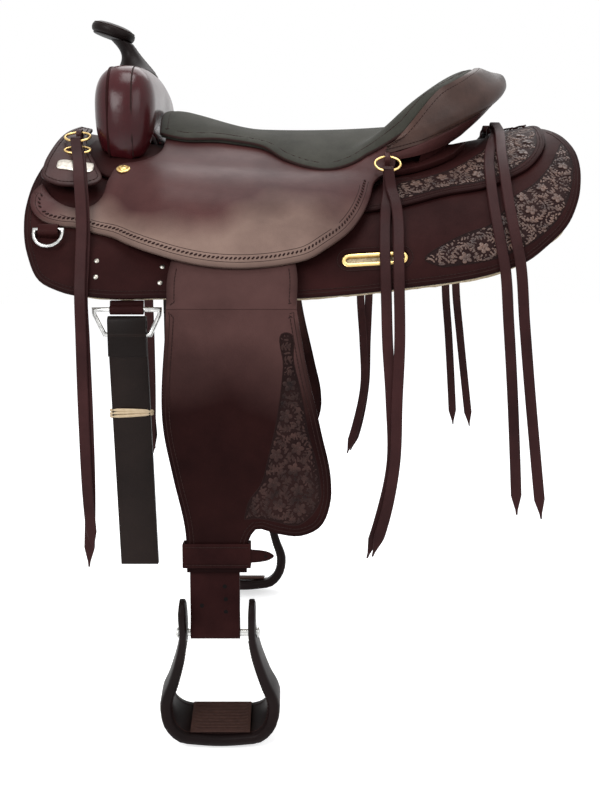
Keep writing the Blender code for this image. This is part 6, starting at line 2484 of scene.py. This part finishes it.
@dataclass
class Rigging:
    """Dees in their chapes, the latigo and the off billet, the breast dees and the string rings."""

    shop: Shop
    half_width: float = 23.0
    latigo_slant: float = 0.028
    first_hole: float = 26.0
    hole_step: float = 22.0

    def build(self) -> None:
        """Make both sides."""
        for side in Side:
            word = side.word
            strap = "latigo_left" if side is Side.LEFT else "off_billet_right"
            self.shop.copy(f"front_chape_{word}", SKIRTING, "saddle", 0.9, 50.0)
            self.shop.copy(f"front_dee_{word}", STEEL, f"front_dee_{word}", 0.0, 75.0)
            self.shop.copy(strap, BLACK, strap, 0.9, 50.0)
            self.shop.copy(f"breast_dee_{word}", STEEL, f"breast_dee_{word}", 0.0, 75.0)
            self._ring(side, "front")
            self._ring(side, "middle")
            self._holes(side, strap)
            self._turn(strap)

    def _turn(self, strap: str) -> None:
        """Take the strap's fold up through the dee, as the last turn of the strap lies.

        Args:
            strap: the latigo's or billet's node and body.
        """
        low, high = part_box(strap)
        start, middle, bar = low[0] / MM, (low[1] + high[1]) / 2 / MM, high[2] / MM - BAR_DROP
        half = ((-6.4, -26.0), (-6.9, -6.0), (-6.9, 16.0), (-5.5, 20.0), (-2.0, 22.2))
        outer = [Vector(p) for p in half] + [Vector((-y, z)) for y, z in reversed(half)]
        hole = [Vector(p) for p in ((-3.3, -22.0), (-3.3, 16.0), (0.0, 18.4), (3.3, 16.0), (3.3, -22.0))]
        fold = Sheet([outer, hole], lambda y, z, x: Vector((start + x, middle + y, bar + z)),
                     level(2.0 * self.half_width), level(0.0))
        place(fold.build(f"{strap}_turn", BLACK, 0.8), BLACK, body=strap)

    def _ring(self, side: Side, spot: str) -> None:
        """Make one brass string ring.

        Args:
            side: the side that it is on.
            spot: front or middle.
        """
        foot, down, out = ring_seat(side, spot)
        centre = foot + out * RING_LIFT + down * RING_RADIUS
        path = [centre + Vector((16.0 * cos(a), 0.0, 0.0)) + down * (RING_RADIUS * sin(a)) for a in turns(48)]
        name = f"string_ring_{spot}_{side.word}"
        place(tube(f"{name}_brass", path, 1.6, BRASS, closed=True, count=12), BRASS, name)

    def _holes(self, side: Side, strap: str) -> None:
        """Punch the strap's holes and tie the tan band round the latigo.

        Args:
            side: the side that the strap is on.
            strap: the strap's node and body.
        """
        low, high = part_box(strap)
        out = Vector((0.0, float(side.value), 0.0))
        y = (low[1] + high[1]) / 2 / MM + side.value * 2.0
        slant = self.latigo_slant if side is Side.LEFT else 0.0

        def middle(z: float) -> float:
            """Place of the strap's middle line along the saddle at a height."""
            return low[0] / MM + self.half_width + slant * (high[2] / MM - BAR_DROP - z)

        for k in range(6):
            z = low[2] / MM + self.first_hole + self.hole_step * k
            punch(f"{strap}_hole_{k}", (Vector((middle(z), y, z)), out), (2.7, 0.55), 18, strap)
        if side is Side.LEFT:
            for k, lift in enumerate((-2.6, 0.0, 2.6)):
                path = [Vector((middle(BAND_Z) + 25.0 * cos(a), y - out.y * 2.0 + 4.6 * sin(a),
                                BAND_Z + lift + 1.6 * cos(a + k))) for a in turns(40)]
                place(tube(f"tan_band_{k}", path, 1.9, BAND, closed=True, count=10), BAND, body=strap)


# Saddle strings

@dataclass
class Strings:
    """Three folded thongs on each side; each tail is a free cord, and each fold sits over its ring."""

    shop: Shop
    thick: float = STRING
    width: float = STRING_WIDTH

    @staticmethod
    def routes() -> dict[str, tuple]:
        """Routes on the near side: where each tail lies on the saddle, then where it hangs.

        Returns:
            For each spot, the two tails' points on the leather, as x, distance across and offset, and then
            in the air, as x, y and z.
        """
        skirt = ON_SKIRT + STRING / 2 + 1.2
        jockey = skirt + REAR_JOCKEY + LAYER_GAP
        lobe = ON_SKIRT + BAR_RISE + FRONT_JOCKEY + STRING / 2 + 2.6
        front = (
            (((-277, 152, lobe), (-270, 178, lobe), (-265, 205, lobe), (-260, 236, lobe - 6), (-257, 265, 26.5),
              (-256, 300, 22), (-256, 334, 21)),
             ((-255, -280, -200), (-254, -280, -300), (-255, -279, -400), (-259, -279, -480))),
            (((-279, 154, lobe + 5), (-273, 178, lobe + 5), (-268, 205, lobe + 5), (-263, 236, lobe - 1),
              (-260, 265, 31.5), (-259, 300, 27), (-258, 334, 26)),
             ((-258, -285, -200), (-258, -285, -300), (-256, -284.5, -400), (-252, -284, -458))),
        )
        middle = (
            (((109, 184, jockey + 2), (106, 202, jockey + 1), (104, 224, skirt + 1), (102, 270, skirt),
              (102, 316, skirt)),
             ((103, -286, -200), (108, -287, -270), (110, -287, -350), (96, -286, -420), (82, -285, -467))),
            (((113, 184, jockey + 8), (117, 204, jockey + 6), (119, 226, skirt + 6), (118, 270, skirt + 5),
              (117, 316, skirt + 5)),
             ((117, -291, -200), (115, -293, -270), (113, -293, -350), (101, -292, -420), (88, -291, -463))),
        )
        rear = (
            (((264, 50, jockey + 2), (253, 85, jockey + 1.4), (242, 130, jockey + 0.8), (237, 178, jockey + 0.8),
              (237, 215, skirt + 1.4), (240, 270, skirt), (243, 304, skirt)),
             ((246, -281, -180), (253, -281, -260), (259, -280, -340), (264, -279, -414))),
            (((267, 50, jockey + 7), (263, 85, jockey + 5), (257, 130, jockey + 5), (254, 178, jockey + 5),
              (254, 215, skirt + 6), (257, 270, skirt + 5), (260, 300, skirt + 5)),
             ((264, -285, -180), (273, -285, -260), (283, -284, -340), (293, -283, -418))),
        )
        return {"front": front, "middle": middle, "rear": rear}

    @staticmethod
    def _bar(spot: str, side: Side) -> Axes:
        """Find the wire or lace that a pair is folded over.

        Args:
            spot: front, middle or rear.
            side: the side that the pair is on.

        Returns:
            The wire's middle, and the slope and facing there.
        """
        if spot == "rear":
            foot, down, out = surface_axes(REAR_STAPLE[0], side.value * REAR_STAPLE[1], level(ON_REAR_JOCKEY))
            return foot + out * 10.2, down, out
        foot, down, out = ring_seat(side, spot)
        return foot + out * RING_LIFT + down * (2.0 * RING_RADIUS), down, out

    def build(self) -> None:
        """Make every fold and every tail."""
        turn = 2.2 + 2.0 * STRAP_GAP + self.thick / 2
        for spot, tails in self.routes().items():
            for side in Side:
                bar, down, out = self._bar(spot, side)
                node = f"strings_{spot}_{side.word}"
                slant = turn * 0.707
                fold = [bar + down * 3.0 - out * turn, bar - out * turn, bar - (down + out) * slant,
                        bar - down * turn, bar + (out - down) * slant, bar + out * turn,
                        bar + down * 3.0 + out * turn]
                place(self._ribbon(f"{node}_fold", smooth_run(fold, 1.2), False), LATIGO, node)
                for k, (laid, free) in enumerate(tails):
                    start = fold[0] if k == 0 else fold[-1]
                    points = [start] + [on_back(x, side.value * across, offset) for x, across, offset in laid]
                    points += [Vector((x, y if side is Side.LEFT else -y, z)) for x, y, z in free]
                    self._tail(f"{node}_tail_{k}", smooth_run(points, 6.0), node)

    def _tail(self, name: str, path: list[Vector], node: str) -> None:
        """Args:
            name: name of the new piece.
            path: its route in millimetres, from its ring.
            node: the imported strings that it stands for.
        """
        piece = place(self._ribbon(name, path, True), LATIGO, node)

    def _ribbon(self, name: str, path: Path, pointed: bool) -> Piece:
        """Make a flat thong with rounded edges, cut to a point at its free end.

        Args:
            name: name of the new piece.
            path: its middle line.
            pointed: whether its end is cut to a point.

        Returns:
            The new piece.
        """
        rings = []
        last = len(path) - 1
        gone = 0.0
        total = run_length(path)
        for i, point in enumerate(path):
            along = (path[min(i + 1, last)] - path[max(i - 1, 0)]).normalized()
            wide = Vector((1.0, 0.0, 0.0))
            wide = (wide - along * wide.dot(along)).normalized()
            out = along.cross(wide).normalized()
            gone += (point - path[i - 1]).length if i else 0.0
            share = min((total - gone) / 24.0, 1.0) if pointed else 1.0
            half = self.width / 2 * max(share, 0.16)
            deep = self.thick / 2
            rings.append([point + wide * (u * half) + out * (v * deep) for u, v in bar_section(0.86, 0.35)])
        return loft(name, rings, LATIGO, sharp=28.0)


# Tree and studio

@dataclass
class Tree:
    """What shows of the tree under the leather."""

    shop: Shop

    def build(self) -> None:
        """Cover the bars, fork, cantle and strainer."""
        for node in ("tree_bar_left", "tree_bar_right", "tree_fork", "tree_cantle"):
            self.shop.copy(node, SKIRTING, "saddle", 1.5, 55.0)
        self.shop.copy("ground_seat", STEEL, "saddle", 0.3)


@dataclass
class Studio:
    """Pale floor, soft lamps, a white surround and the camera at the photograph's angle."""

    floor_height: float = -0.716
    reach: float = 6.0
    eye: tuple[float, float, float] = (0.0, -1.55, -0.045)
    pitch: float = 79.87
    focal_length: float = 48.62
    sensor: float = 36.0

    def build(self) -> None:
        """Set the studio up."""
        self._camera()
        self._surround()
        self._floor()
        for place_at, turn, size, power in (
                ((-1.3, -2.2, 1.1), (68.0, 0.0, -30.0), 1.4, 46.0),
                ((1.9, -1.7, 1.2), (64.0, 0.0, 48.0), 1.6, 20.0),
                ((0.2, 1.7, 2.1), (-42.0, 0.0, 0.0), 2.0, 26.0),
                ((0.0, -0.35, 1.7), (6.0, 0.0, 0.0), 0.9, 16.0)):
            lamp = bpy.data.lights.new("soft lamp", "AREA")
            lamp.size = size
            lamp.energy = power
            holder = linked("soft_lamp", lamp)
            holder.location = place_at
            holder.rotation_euler = [radians(a) for a in turn]

    def _camera(self) -> None:
        """Set the camera where the photograph was taken from."""
        lens = bpy.data.cameras.new("camera")
        lens.lens = self.focal_length
        lens.sensor_width = self.sensor
        lens.clip_start = 0.01
        eye = linked("camera", lens)
        eye.location = self.eye
        eye.rotation_euler = (radians(self.pitch), 0.0, 0.0)
        bpy.context.scene.camera = eye

    @staticmethod
    def _white(graph: Graph) -> Socket:
        """Tell the rays that see the background straight, in a reflection or through something.

        Args:
            graph: the nodes of the world or of a material.

        Returns:
            1 for such rays, otherwise 0.
        """
        path = graph.add("ShaderNodeLightPath")
        seen = graph.math("MAXIMUM", path.outputs["Is Camera Ray"], path.outputs["Is Glossy Ray"])
        return graph.math("MAXIMUM", seen, path.outputs["Is Transmission Ray"])

    def _surround(self) -> None:
        """Light the scene softly from all round, before a white background."""
        world = bpy.data.worlds.new("surround")
        world.use_nodes = True
        graph = Graph(world.node_tree)
        plain = graph.give(world.node_tree.nodes["Background"], {"Color": (0.86, 0.88, 0.92, 1.0), "Strength": 0.55})
        seen = graph.add("ShaderNodeBackground", {"Color": (1.0, 1.0, 1.0, 1.0), "Strength": 1.0})
        mix = graph.add("ShaderNodeMixShader", {0: self._white(graph), 1: plain.outputs[0], 2: seen.outputs[0]})
        graph.give(world.node_tree.nodes["World Output"], {"Surface": mix.outputs[0]})
        bpy.context.scene.world = world

    def _floor(self) -> None:
        """Lay the floor, white where the camera sees it, with the saddle's shadow."""
        mesh = bpy.data.meshes.new("floor")
        corners = [(x, y, self.floor_height) for x, y in ((-1, -1), (1, -1), (1, 1), (-1, 1))]
        mesh.from_pydata([(x * self.reach, y * self.reach, z) for x, y, z in corners], [], [(0, 1, 2, 3)])
        made = bpy.data.materials.new("floor")
        made.use_nodes = True
        graph = Graph(made.node_tree)
        shader = graph.give(made.node_tree.nodes["Principled BSDF"],
                            {"Base Color": (0.93, 0.93, 0.93, 1.0), "Roughness": 0.9, "Specular IOR Level": 0.1})
        glow = graph.add("ShaderNodeEmission", {"Color": (1.0, 1.0, 1.0, 1.0), "Strength": 0.62})
        lit = graph.add("ShaderNodeAddShader", {0: shader.outputs[0], 1: glow.outputs[0]})
        mix = graph.add("ShaderNodeMixShader", {0: self._white(graph), 1: shader.outputs[0], 2: lit.outputs[0]})
        graph.give(made.node_tree.nodes["Material Output"], {"Surface": mix.outputs[0]})
        mesh.materials.append(made)
        linked("floor", mesh)


def main() -> None:
    """Build the sub-assemblies in order."""
    logging.basicConfig(level=logging.INFO, format="%(message)s")
    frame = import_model()
    bpy.context.scene.view_settings.view_transform = "Standard"
    shop = Shop(frame, Stamps())
    Studio().build()
    Strings(shop).build()
    Tree(shop).build()
    Skirts(shop).build()
    Jockeys(shop).build()
    Seat(shop).build()
    Cantle(shop).build()
    Swell(shop).build()
    Horn(shop).build()
    for side in Side:
        Fender(shop, side).build()
        Stirrup(shop, side).build()
    Rigging(shop).build()
    shop.stamps.remove()


if __name__ == "__main__":
    main()
